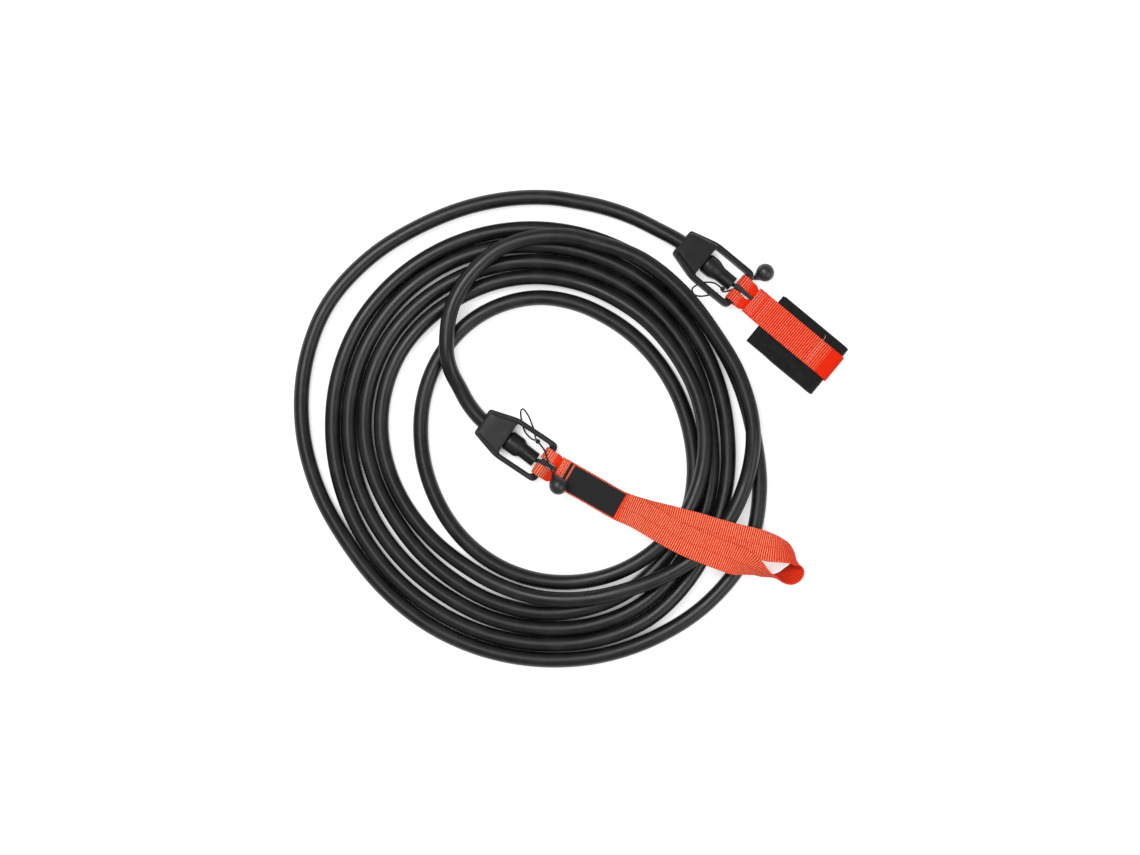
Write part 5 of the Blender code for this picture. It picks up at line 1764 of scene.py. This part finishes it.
def neck_finish(name: str, surface: Surface, end: float, **colours: object) -> WebbingFinish:
    """Webbing of a neck, with painted shade, a stronger red, where it dips under the end that is sewn on it.

    Args:
        name: Name of the material.
        surface: The neck's surface.
        end: Where its plies end, from the crossbar.
        colours: Colours of the webbing, where they aren't the usual ones.

    Returns:
        The finish.
    """
    bar = surface.length - end
    # Painted shade where the neck dips under the sewn end piece.
    fold_shades = ((bar + 4.0 * MM, bar + 8.0 * MM, bar + 14 * MM, bar + 15 * MM, 0.95),)
    return WebbingFinish(name, rib=LAYOUT.cuff_rib, edge=0.5, fold_shades=fold_shades, **colours)


# Hand loop: place in webbing widths along and across, height in hose diameters, width direction.
LOOP_SHARES: tuple[tuple[float, ...], ...] = (
    (2.91, 0.22, 0.53, -0.08, 1.00, 0.00), (3.68, 0.41, 1.32, -0.22, 0.98, 0.00),
    (4.44, 0.69, 2.17, -0.31, 0.95, 0.00), (5.21, 0.96, 2.24, -0.33, 0.94, 0.00),
    (6.47, 1.36, 2.24, -0.33, 0.94, 0.00), (7.24, 1.64, 2.02, -0.33, 0.94, 0.00),
    (7.84, 1.84, 1.76, -0.38, 0.85, -0.37),
    (8.17, 1.96, 1.57, -0.41, 0.67, -0.62), (8.42, 2.02, 1.34, -0.38, 0.55, -0.75),
    (8.65, 1.98, 1.12, -0.40, 0.45, -0.80), (8.84, 1.90, 1.00, -0.46, 0.33, -0.82),
    (8.94, 1.75, 0.95, -0.51, 0.26, -0.82), (8.96, 1.54, 0.96, -0.51, 0.26, -0.82),
    (8.87, 1.33, 1.01, -0.42, 0.26, -0.87), (8.68, 1.16, 1.09, -0.19, 0.17, -0.97),
    (8.48, 1.07, 1.18, 0.02, 0.00, -1.00), (8.22, 0.98, 1.32, 0.19, -0.16, -0.97),
    (7.91, 0.94, 1.54, 0.35, -0.34, -0.87), (7.51, 0.90, 1.92, 0.42, -0.60, -0.68),
    (7.05, 0.82, 2.30, 0.40, -0.88, -0.26), (6.23, 0.64, 2.44, 0.28, -0.96, 0.00),
    (5.40, 0.47, 2.44, 0.16, -0.99, 0.00), (4.68, 0.39, 2.42, 0.10, -1.00, 0.00),
    (4.02, 0.35, 2.02, 0.10, -1.00, 0.00), (3.52, 0.31, 1.52, 0.09, -1.00, 0.00),
    (2.91, 0.22, 1.03, 0.08, -1.00, 0.00),
)


@dataclass
class HandStrap:
    """Neck round crossbar A, sewn end piece, hand loop, label and stitches."""

    place: Place = LAYOUT.a
    neck_end: float = 68.0 * MM
    ply_start: float = 20.0 * MM
    label_start: float = 24.0 * MM
    label_length: float = 48.4 * MM
    label_width: float = 22.4 * MM
    label_thickness: float = 0.8 * MM
    label_raised: float = 0.2 * MM
    label_edge_lift: float = 0.14 * MM
    label_wave: float = 0.07 * MM
    label_wave_size: float = 14.0 * MM
    drift_slope: float = 0.072
    end_piece: Span = (12.2 * MM, 20.4 * MM)
    end_piece_thickness: float = 1.3 * MM
    end_piece_raised: float = 0.75 * MM
    end_seam_raised: float = 1.32 * MM
    turned_edge: Span = (19.9 * MM, 22.3 * MM)
    turned_edge_thickness: float = 0.7 * MM
    turned_edge_raised: float = 0.3 * MM
    turned_edge_wider: float = 1.0 * MM
    cord_bulge: float = 1.9 * MM
    bulge_width: float = 3.4 * MM
    bulge_fades: Span = (13.0 * MM, 20.0 * MM)
    seams_mm: tuple[tuple[float, ...], ...] = (
        (13.4, 16.2, 11.2, 1.7), (16.9, 19.4, 11.2, 1.7), (22.5, 23.7, 10.9, 1.3))

    def drift(self, along: Array) -> Array:
        """Sideways drift of the strap, which lies a little skew to its connector."""
        return np.maximum(np.asarray(along) - 6.0 * MM, 0.0) * self.drift_slope

    def loop_rows(self) -> Grid:
        """Middles and width directions of the hand loop, from its lower ply to its upper ply.

        The stations give the place in webbing widths along and across, and the height over the
        floor in hose diameters, so z = height * diameter - axis height.

        Returns:
            Middles and width directions.
        """
        stations = np.array(LOOP_SHARES)
        width, bar = LAYOUT.webbing_width, LAYOUT.crossbar
        middle = np.stack([stations[:, 0] * width + bar, stations[:, 1] * width,
                           stations[:, 2] * 2 * LAYOUT.hose_radius - self.place.z], axis=-1)
        side = unit(stations[:, 3:6])
        ply = 1.5 * LAYOUT.ply
        end = self.label_start + self.label_length
        flat = np.array([self.ply_start, self.label_start, (self.label_start + end) / 2, end])
        low = np.stack([flat + bar, self.drift(flat), 0 * flat - ply], axis=-1)
        high = low[::-1] * np.array([1.0, 1.0, -1.0])
        across = np.tile([0.0, 1.0, 0.0], (4, 1))
        middle = np.vstack([low, middle[1:-1], high])
        side = np.vstack([across, side[1:-1], -across])
        return self.place.put(middle), self.place.aim(side)

    def build(self) -> list[Piece]:
        """Make and dress every piece of the hand strap.

        Returns:
            The pieces.
        """
        body = Body.HAND_STRAP
        wrap = lobes("neck_strap", self.place, self.neck_end, self.drift, straight)
        neck = wrap.build(neck_finish("webbing_neck", wrap, self.neck_end).material())
        dress(neck, Slot.WEBBING, body, "neck_webbing")
        surface = Surface("hand_loop_strap").add(*Strap(*self.loop_rows(),
                                                        rib=LAYOUT.hand_rib).grid())
        over = surface.length - (self.label_start + self.label_length - self.ply_start)
        tip = surface.length / 2
        # Painted shadow of the label on the upper ply just past the label's end, and painted shade round the loop's
        # bight.
        fold_shades = ((over - 7 * MM, over - 2 * MM, over, over + 2 * MM, 0.6),
                 (tip - 40 * MM, tip - 10 * MM, tip + 14 * MM, tip + 44 * MM, 0.75))
        webbing = WebbingFinish("webbing_hand", rib=LAYOUT.hand_rib, seam=0.55, edge=0.74,
                                fold_shades=fold_shades).material()
        hand = surface.build(webbing)
        dress(hand, Slot.WEBBING, body, "hand_loop")
        return [neck, hand, self._end_piece(webbing), self._turned_edge(), self._label(),
                self._stitches()]

    def _flat(self, name: str, span: Span, height: float, width: float, thickness: float,
              crown: Over | None = None, **settings: object) -> Surface:
        """A flat piece laid on the strap.

        Args:
            name: Name of the piece.
            span: Where it starts and ends, from the crossbar.
            height: Height of its middle over the strap's middle.
            width: Its width.
            thickness: Its thickness.
            crown: What it stands up over things below, by place along and across.
            settings: Further sizes of the strip.

        Returns:
            The surface.
        """
        line = np.stack([np.linspace(*span, 6), np.full(6, height)], axis=-1)
        centres, sides = from_bar(self.place, line, self.drift, straight)
        grid, chart = Strap(centres, sides, width, thickness, **settings).grid()
        if crown is not None:
            grid[..., 2] += crown(chart[..., 0] + span[0], chart[..., 1])
        return Surface(name).add(grid, chart)

    def _bulge(self, along: Array, across: Array) -> Array:
        """Rise of the end piece over the safety cord: a bell across, fading along the strap."""
        return self.cord_bulge * np.exp(-(across / self.bulge_width) ** 2) * (
            1 - between(along, *self.bulge_fades))

    def _end_piece(self, material: Material) -> Piece:
        """Webbing end sewn down over the safety cord.

        Args:
            material: Its webbing.

        Returns:
            The end piece.
        """
        surface = self._flat("neck_end_piece", self.end_piece,
                             LAYOUT.over_two + self.end_piece_raised, LAYOUT.webbing_width,
                             self.end_piece_thickness, self._bulge, columns=25)
        return dress(surface.build(material), Slot.WEBBING, Body.HAND_STRAP)

    def _turned_edge(self) -> Piece:
        """Dark turned edge of the label tape, before the label.

        Returns:
            The edge.
        """
        surface = self._flat("label_turned_edge", self.turned_edge,
                             LAYOUT.over_four + self.turned_edge_raised,
                             self.label_width + self.turned_edge_wider,
                             self.turned_edge_thickness, rib_depth=0.0, serration=0.0)
        piece = surface.build(LabelFinish("label_edge_weave").material())
        return dress(piece, Slot.LABEL, Body.HAND_STRAP)

    def _label(self) -> Piece:
        """Woven label, slightly raised towards its edges.

        Returns:
            The label.
        """
        def crown(along: Array, across: Array) -> Array:
            """Slight lift towards the edges, and waves along the label."""
            edge = np.abs(across) / (self.label_width / 2)
            return self.label_edge_lift * edge ** 4 + self.label_wave * ripple(
                along, across, self.label_wave_size, 3)

        surface = self._flat("label_patch",
                             (self.label_start, self.label_start + self.label_length),
                             LAYOUT.over_four + self.label_thickness / 2 + self.label_raised,
                             self.label_width, self.label_thickness, crown, rib_depth=0.0,
                             serration=0.05 * MM, rib=1.1 * MM, columns=21)
        piece = surface.build(LabelFinish().material())
        return dress(piece, Slot.LABEL, Body.HAND_STRAP, "label")

    def _stitches(self) -> Piece:
        """Zigzag seams on the end piece, and the seam before the label.

        Returns:
            All three seams, as one piece.
        """
        def on_end(x: Array, y: Array) -> Array:
            """Height of the end piece's top."""
            return LAYOUT.over_two + self.end_seam_raised + self._bulge(x, y)

        def on_ply(x: Array, y: Array) -> Array:
            """Height of the loop's upper ply."""
            return LAYOUT.over_four + 0 * x

        surface = Surface("hand_strap_seams")
        for sizes, height in zip(self.seams_mm, (on_end, on_end, on_ply)):
            line = zigzag(*(size * MM for size in sizes), height, self.drift)
            surface.join(sewn(self.place, line))
        piece = surface.build(ThreadFinish("thread_hand").material())
        return dress(piece, Slot.THREAD, Body.HAND_STRAP, "stitching_a")


@dataclass
class AnkleCuff:
    """Webbing round crossbar B and over the cuff, tape band, hook patch, flap and stitches."""

    place: Place = LAYOUT.b
    start: float = 33.5 * MM
    end: float = 104.5 * MM
    width: float = 49.0 * MM
    offset: float = -4.0 * MM
    band_thickness: float = 2.2 * MM
    room: float = 5.6 * MM
    ply_end: float = 30.0 * MM
    untwist: float = 22.0 * MM
    joint: float = 94.0 * MM
    flap_sticks_out: float = 1.3 * MM
    flap_narrower: float = 0.4 * MM
    flap_thinner: float = 0.25 * MM
    red: Colour = (0.94, 0.016, 0.0)
    # Deep red for dye and painted groove shade; the pale colours are the painted rib highlights.
    deep_red: Colour = (0.68, 0.003, 0.0)
    pale_red: Colour = (1.0, 0.34, 0.17)
    pale_neck: Colour = (1.0, 0.4, 0.24)
    patch_thickness: float = 1.2 * MM
    patch_length: float = 18.0 * MM
    top_start: float = 13.2 * MM
    before_fold: float = 9.0 * MM
    dip_mm: tuple[float, ...] = (18.0, 24.0, 29.0, 34.5, 40.0)
    flap_mm: tuple[float, ...] = (78.0, 60.0, 51.0)
    seam_reach: float = 11.0 * MM
    neck_rows_mm: tuple[tuple[float, ...], ...] = (
        (14.2, 15.1, 1.4), (16.2, 17.1, 1.4), (18.2, 19.1, 1.4), (20.2, 21.1, 1.4),
        (26.0, 26.9, 1.4))
    end_rows_mm: tuple[tuple[float, ...], ...] = ((79.4, 80.3, 1.5), (81.6, 82.5, 1.5))
    loose_end_mm: tuple[Point, ...] = ((80.0, 11.2, 0.1), (80.6, 12.6, 0.5), (81.0, 14.2, 0.4),
                                       (80.4, 15.6, 0.2), (79.4, 16.8, -0.4))

    @property
    def levels(self) -> dict[str, float]:
        """Heights of the plies over the hose's axis.

        Returns:
            The heights by name.
        """
        half, band = LAYOUT.webbing_thickness / 2, self.band_thickness / 2
        low = LAYOUT.webbing_thickness + 2 * LAYOUT.gap + band
        high = low + self.band_thickness + self.room
        heights = {
            "band_low": low, "band_high": high, "webbing_low": LAYOUT.gap + half,
            "webbing_high": high + band + LAYOUT.gap + half,
            "patch": high - band - LAYOUT.gap - self.patch_thickness / 2,
            "flap_end": high - 2 * band - 2 * LAYOUT.gap - self.patch_thickness,
            "flap_rest": 1.3 * MM,
        }
        return {name: height - self.place.z for name, height in heights.items()}

    def roll(self, along: Array) -> Array:
        """Roll of the webbing: the connector's at the bar, none from the untwisted place on."""
        share = (self.untwist - np.asarray(along)) / (self.untwist - 6.0 * MM)
        return math.radians(self.place.roll_deg) * np.clip(share, 0.0, 1.0)

    def aside(self, along: Array) -> Array:
        """Offset of the band across the strap."""
        return self.offset + 0.0 * np.asarray(along)

    def fold(self, low: float, high: float, centre: float) -> Array:
        """Half circle from the upper ply round to the lower ply.

        Args:
            low: Height of the lower ply.
            high: Height of the upper ply.
            centre: Middle of the half circle, from the crossbar.

        Returns:
            Places along and heights.
        """
        radius, middle = (high - low) / 2, (high + low) / 2
        angle = math.pi / 2 - math.pi * np.arange(11) / 10
        return np.stack([centre + radius * np.cos(angle), middle + radius * np.sin(angle)],
                        axis=-1)

    def _strip(self, name: str, line: Array, width: float, thickness: float, drift: Along,
               roll: Along, **settings: object) -> Surface:
        """Surface of one strip along a line of the cuff's upright plane.

        Args:
            name: Name of the piece.
            line: Places along and heights.
            width: Its width.
            thickness: Its thickness.
            drift: Sideways drift by place along.
            roll: Roll by place along.
            settings: Further sizes.

        Returns:
            The surface.
        """
        centres, sides = from_bar(self.place.level(), line, drift, roll)
        return Surface(name).add(*Strap(centres, sides, width, thickness, **settings).grid())

    def build(self) -> list[Piece]:
        """Make and dress every piece of the cuff.

        Returns:
            The pieces.
        """
        level = self.levels
        fold_radius = (level["webbing_high"] - level["webbing_low"]) / 2
        centre = self.end - fold_radius - LAYOUT.webbing_thickness / 2
        return [self._wrap(), self._top(level, centre), *self._tape(level, centre),
                *self._seams(level)]

    def _wrap(self) -> Piece:
        """Webbing round the crossbar, slit for the safety cord.

        Returns:
            The webbing.
        """
        surface = lobes("cuff_neck_strap", self.place.level(), self.ply_end, straight, self.roll)
        piece = surface.build(neck_finish("webbing_cuff_neck", surface, self.ply_end,
                                          base=self.red, deep=self.deep_red,
                                          pale=self.pale_neck).material())
        return dress(piece, Slot.WEBBING, Body.ANKLE_CUFF, "cuff_webbing")

    def _top_line(self, level: dict[str, float], centre: float) -> Array:
        """Line of the strap over the cuff: on the neck's plies, down to the band, and round.

        Args:
            level: Heights of the plies over the hose's axis.
            centre: Middle of the outer fold, from the crossbar.

        Returns:
            Places along and heights.
        """
        top, neck, low = level["webbing_high"], LAYOUT.third, level["webbing_low"]
        dip = [place * MM for place in self.dip_mm]
        places = [self.top_start, *dip, (dip[-1] + centre) / 2, centre - self.before_fold]
        heights = [neck, neck, neck, neck - 0.1 * MM, top + 0.12 * MM, top, top, top]
        return np.vstack([np.stack([places, heights], axis=-1), self.fold(low, top, centre),
                          [[centre - 3 * MM, low]]])

    def _top(self, level: dict[str, float], centre: float) -> Piece:
        """Strap over the cuff, folded round its outer end.

        Args:
            level: Heights of the plies over the hose's axis.
            centre: Middle of the outer fold, from the crossbar.

        Returns:
            The strap.
        """
        surface = self._strip("cuff_strap", self._top_line(level, centre), LAYOUT.webbing_width,
                              LAYOUT.webbing_thickness, straight, self.roll, columns=19,
                              serration=0.24 * MM, rib=LAYOUT.cuff_rib, rib_depth=0.24 * MM)
        tail = surface.length - 30 * MM
        # Stronger red over the strap's first 9 to 12 mm by the neck, and painted shade round its outer fold, where the
        # rib highlights fade.
        fold_shades = ((0.0, 0.4 * MM, 9.0 * MM, 12.0 * MM, 0.5),
                 (tail - 2 * MM, tail + 5 * MM, *PAST_THE_END, 0.8),
                 (*BEFORE_THE_START, 7 * MM, 9 * MM, 0.6))
        piece = surface.build(WebbingFinish(
            "webbing_cuff", base=self.red, deep=self.deep_red, pale=self.pale_red,
            rib=LAYOUT.cuff_rib, edge=0.55, calm=(tail, tail + 4 * MM), fold_shades=fold_shades).material())
        return dress(piece, Slot.WEBBING, Body.ANKLE_CUFF)

    def _tape(self, level: dict[str, float], centre: float) -> list[Piece]:
        """Loop tape band, hook patch under its free end, and the flap that closes on it.

        Args:
            level: Heights of the plies over the hose's axis.
            centre: Middle of the outer fold, from the crossbar.

        Returns:
            Band, patch and flap.
        """
        nap = {"rib_depth": 0.0, "serration": 0.0, "columns": 45, "step": 0.9 * MM,
               "nap": 0.16 * MM}
        high, low, inset = level["band_high"], level["band_low"], self.start + 1 * MM
        line = np.vstack([[[self.start, high], [self.start + 12 * MM, high],
                           [(self.start + centre) / 2, high],
                           [centre - self.before_fold, high]],
                          self.fold(low, high, centre), [[self.joint + LAYOUT.gap, low]]])
        band = self._strip("cuff_tape_band", line, self.width, self.band_thickness, self.aside,
                           straight, **nap).build(PileFinish().material())
        dress(band, Slot.TAPE, Body.ANKLE_CUFF, "cuff_band")
        line = np.array([[place, level["patch"]] for place in (
            inset, self.start + 9 * MM, inset + self.patch_length)])
        patch = self._strip("hook_tape_patch", line, self.width - 2 * MM, self.patch_thickness,
                            self.aside, straight, **dict(nap, nap=0.08 * MM)).build(
            PileFinish("hook_tape", light=(0.05, 0.05, 0.052), grain_scale=900.0).material())
        dress(patch, Slot.TAPE, Body.ANKLE_CUFF, "hook_patch")
        flap = self._strip("cuff_tape_flap", self._flap_line(level),
                           self.width - self.flap_narrower,
                           self.band_thickness - self.flap_thinner, self.aside, straight, **nap
                           ).build(PileFinish("loop_pile_flap").material())
        hinge, spot = LAYOUT.crossbar + self.joint, self.place.level().spot
        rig.replaces(flap, "cuff_flap")
        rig.blend(flap, Body.ANKLE_CUFF.value, Body.CUFF_FLAP.value,
                 start=spot(hinge + 1.5 * MM, self.offset, low),
                 end=spot(hinge - 5 * MM, self.offset, low))
        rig.slot(flap, Slot.TAPE.value)
        return [band, patch, flap]

    def _flap_line(self, level: dict[str, float]) -> Array:
        """Line of the flap: from the joint down to the floor, along it and up to the patch.

        Args:
            level: Heights of the plies over the hose's axis.

        Returns:
            Places along and heights.
        """
        places = np.array([self.joint + 3.0 * MM, self.joint,
                           *(place * MM for place in self.flap_mm),
                           self.start - self.flap_sticks_out])
        heights = np.array([level[name] for name in ("band_low", "band_low", "flap_rest",
                                                     "flap_rest", "flap_end", "flap_end")])
        share = np.linspace(0, 1, 5)
        x = np.concatenate([np.linspace(places[i], places[i + 1], 5)[:-1] for i in range(5)]
                           + [places[-1:]])
        z = np.concatenate([heights[i] + (heights[i + 1] - heights[i]) * ease(share)[:-1]
                            for i in range(5)] + [heights[-1:]])
        return np.stack([x, z], axis=-1)

    def _rows(self, rows: tuple[tuple[float, ...], ...], base: float) -> Surface:
        """Zigzag seams of those rows, rolled with the webbing that they lie on.

        A place at height z across the strap by y turns to (y cos r - z sin r, y sin r + z cos r).

        Args:
            rows: Start, end and pitch of each row, in millimetres.
            base: Height of the webbing's top.

        Returns:
            The seams.
        """
        surface = Surface("seams")
        for first, last, pitch in rows:
            line = zigzag(first * MM, last * MM, self.seam_reach, pitch * MM,
                          lambda x, y: base + 0 * x, straight)
            turn = self.roll(line[:, 0])
            y, z = line[:, 1].copy(), line[:, 2].copy()
            line[:, 1] = y * np.cos(turn) - z * np.sin(turn)
            line[:, 2] = y * np.sin(turn) + z * np.cos(turn)
            surface.join(sewn(self.place.level(), line))
        return surface

    def _seams(self, level: dict[str, float]) -> list[Piece]:
        """Seams by the neck and by the fold, and one loose thread end.

        Args:
            level: Heights of the plies over the hose's axis.

        Returns:
            The seams by the neck, and those by the fold.
        """
        half = LAYOUT.webbing_thickness / 2
        top = level["webbing_high"] + half + 0.1 * MM
        neck = self._rows(self.neck_rows_mm, LAYOUT.third + half + 0.1 * MM)
        end = self._rows(self.end_rows_mm, top)
        tail = np.array(self.loose_end_mm) * MM + np.array([LAYOUT.crossbar, 0.0, top])
        end.join(solid_tube("loose", Route(self.place.level().put(tail)), 0.22 * MM, 0.4 * MM, 7))
        pieces = []
        for surface, name, node in ((neck, "cuff_neck_seams", "stitching_b_inner"),
                                    (end, "cuff_end_seams", "stitching_b_outer")):
            surface.name = name
            piece = surface.build(ThreadFinish("thread_" + name, base=(0.95, 0.24, 0.13),
                                               pale=(1.0, 0.6, 0.46)).material())
            pieces.append(dress(piece, Slot.THREAD, Body.ANKLE_CUFF, node))
        return pieces


# Plugs, studio and camera

def dress_plugs() -> None:
    """Give the hidden plugs, which stay as the solids make them, a moulded finish."""
    material = MouldedFinish("plug_moulding", base=(0.05, 0.05, 0.055), wear_and_edge_highlight=(0.1, 0.1, 0.105)
                             ).material()
    for name in ("plug_a", "plug_b"):
        plug = frame["nodes"][name]
        plug.data.materials.clear()
        plug.data.materials.append(material)


@dataclass
class Studio:
    """White floor, soft lamps and the camera straight above."""

    target: Span = (-76.3 * MM, -16.5 * MM)
    view_width: float = 950.0 * MM
    height: float = 1.8
    focus_height: float = 9.0 * MM
    sensor_mm: float = 36.0
    floor_size: float = 40.0
    floor_drop: float = 0.1 * MM
    ambient: float = 0.36
    lamps: tuple[tuple[str, Point, Span, float], ...] = (
        ("key", (-1.0, 0.75, 2.3), (0.9, 0.9), 25.0),
        ("line", (-0.42, 0.1, 2.6), (0.28, 1.6), 11.0),
        ("fill", (1.5, -1.1, 1.7), (1.4, 1.4), 16.0))

    def camera(self) -> None:
        """Camera looking straight down, so that the frame's long side spans the view width."""
        data = bpy.data.cameras.new("camera")
        data.sensor_width = self.sensor_mm
        data.lens = self.sensor_mm * (self.height - self.focus_height) / self.view_width
        camera = bpy.data.objects.new("camera", data)
        camera.location = (*self.target, self.height)
        bpy.context.scene.collection.objects.link(camera)
        bpy.context.scene.camera = camera

    def lamp(self, name: str, place: Point, size: Span, power: float) -> None:
        """A soft lamp aimed at the middle of the view.

        Args:
            name: Its name.
            place: Where it hangs, in metres.
            size: Its two sides.
            power: Its power in watts.
        """
        data = bpy.data.lights.new(name, "AREA")
        data.shape, data.size, data.size_y, data.energy = "RECTANGLE", *size, power
        lamp = bpy.data.objects.new(name, data)
        back = unit(np.array(place) - np.array([*self.target, 0.0]))
        right = unit(np.cross([0.0, 1.0, 0.0], back))
        up = np.cross(back, right)
        turn = np.stack([right, up, back], axis=1)
        lamp.matrix_world = Matrix.Translation(place) @ Matrix(turn.tolist()).to_4x4()
        bpy.context.scene.collection.objects.link(lamp)

    def build(self) -> None:
        """Make the floor, the world, the lamps and the camera."""
        self.camera()
        half = self.floor_size / 2
        line = np.linspace(-half, half, 3)
        level = np.full((3, 3), -self.floor_drop)
        grid = np.stack([*np.meshgrid(line, line, indexing="ij"), level], axis=-1)
        floor = Surface("studio_floor").add(grid).build(StageFinish().material())
        if floor.data.polygons[0].normal.z < 0:
            floor.data.flip_normals()
        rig.stage(floor)
        world = bpy.data.worlds.new("studio")
        world.use_nodes = True
        back = world.node_tree.nodes["Background"]
        path = world.node_tree.nodes.new("ShaderNodeLightPath")
        light = world.node_tree.nodes.new("ShaderNodeMapRange")
        light.inputs[3].default_value = self.ambient
        light.inputs[4].default_value = 1.0
        world.node_tree.links.new(path.outputs["Is Camera Ray"], light.inputs[0])
        world.node_tree.links.new(light.outputs[0], back.inputs["Strength"])
        back.inputs["Color"].default_value = (1.0, 1.0, 1.0, 1.0)
        bpy.context.scene.world = world
        for lamp in self.lamps:
            self.lamp(*lamp)
        bpy.context.scene.view_settings.view_transform = "Standard"
        log.info("studio: camera %.2f m up", self.height)


def main() -> None:
    """Build the studio, the cords and every piece, and write the sizes."""
    logging.basicConfig(level=logging.INFO, format="%(message)s")
    Studio().build()
    made: list[Piece] = []
    made += Hose().build()
    made.append(CordEnd("a", LAYOUT.a, LAYOUT.hose_lean,
                        (Body.CONNECTOR_A, Body.HAND_STRAP)).build())
    made.append(CordEnd("b", LAYOUT.b, 0.0, (Body.CONNECTOR_B, Body.ANKLE_CUFF)).build())
    made += Toggle("a", LAYOUT.a, BALL_A_MM, LEASH_A_MM, KNOT_A_MM, LEG_LOOP_A_MM).build()
    made += Toggle("b", LAYOUT.b, BALL_B_MM, CORD_B_MM, KNOT_B_MM).build()
    made.append(Connector("a", LAYOUT.a, Body.CONNECTOR_A).build())
    made.append(Connector("b", LAYOUT.b, Body.CONNECTOR_B).build())
    made += HandStrap().build()
    made += AnkleCuff().build()
    dress_plugs()
    for piece in made:
        log.info("%s: %d vertices", piece.name, len(piece.data.vertices))
    sizes = {"cad": [list(corner) for corner in CAD_BOX],
             "visual": [list(corner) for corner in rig.bounds()]}
    Path("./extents.json").write_text(json.dumps(sizes))
    log.info("box %s", sizes)


if __name__ == "__main__":
    main()
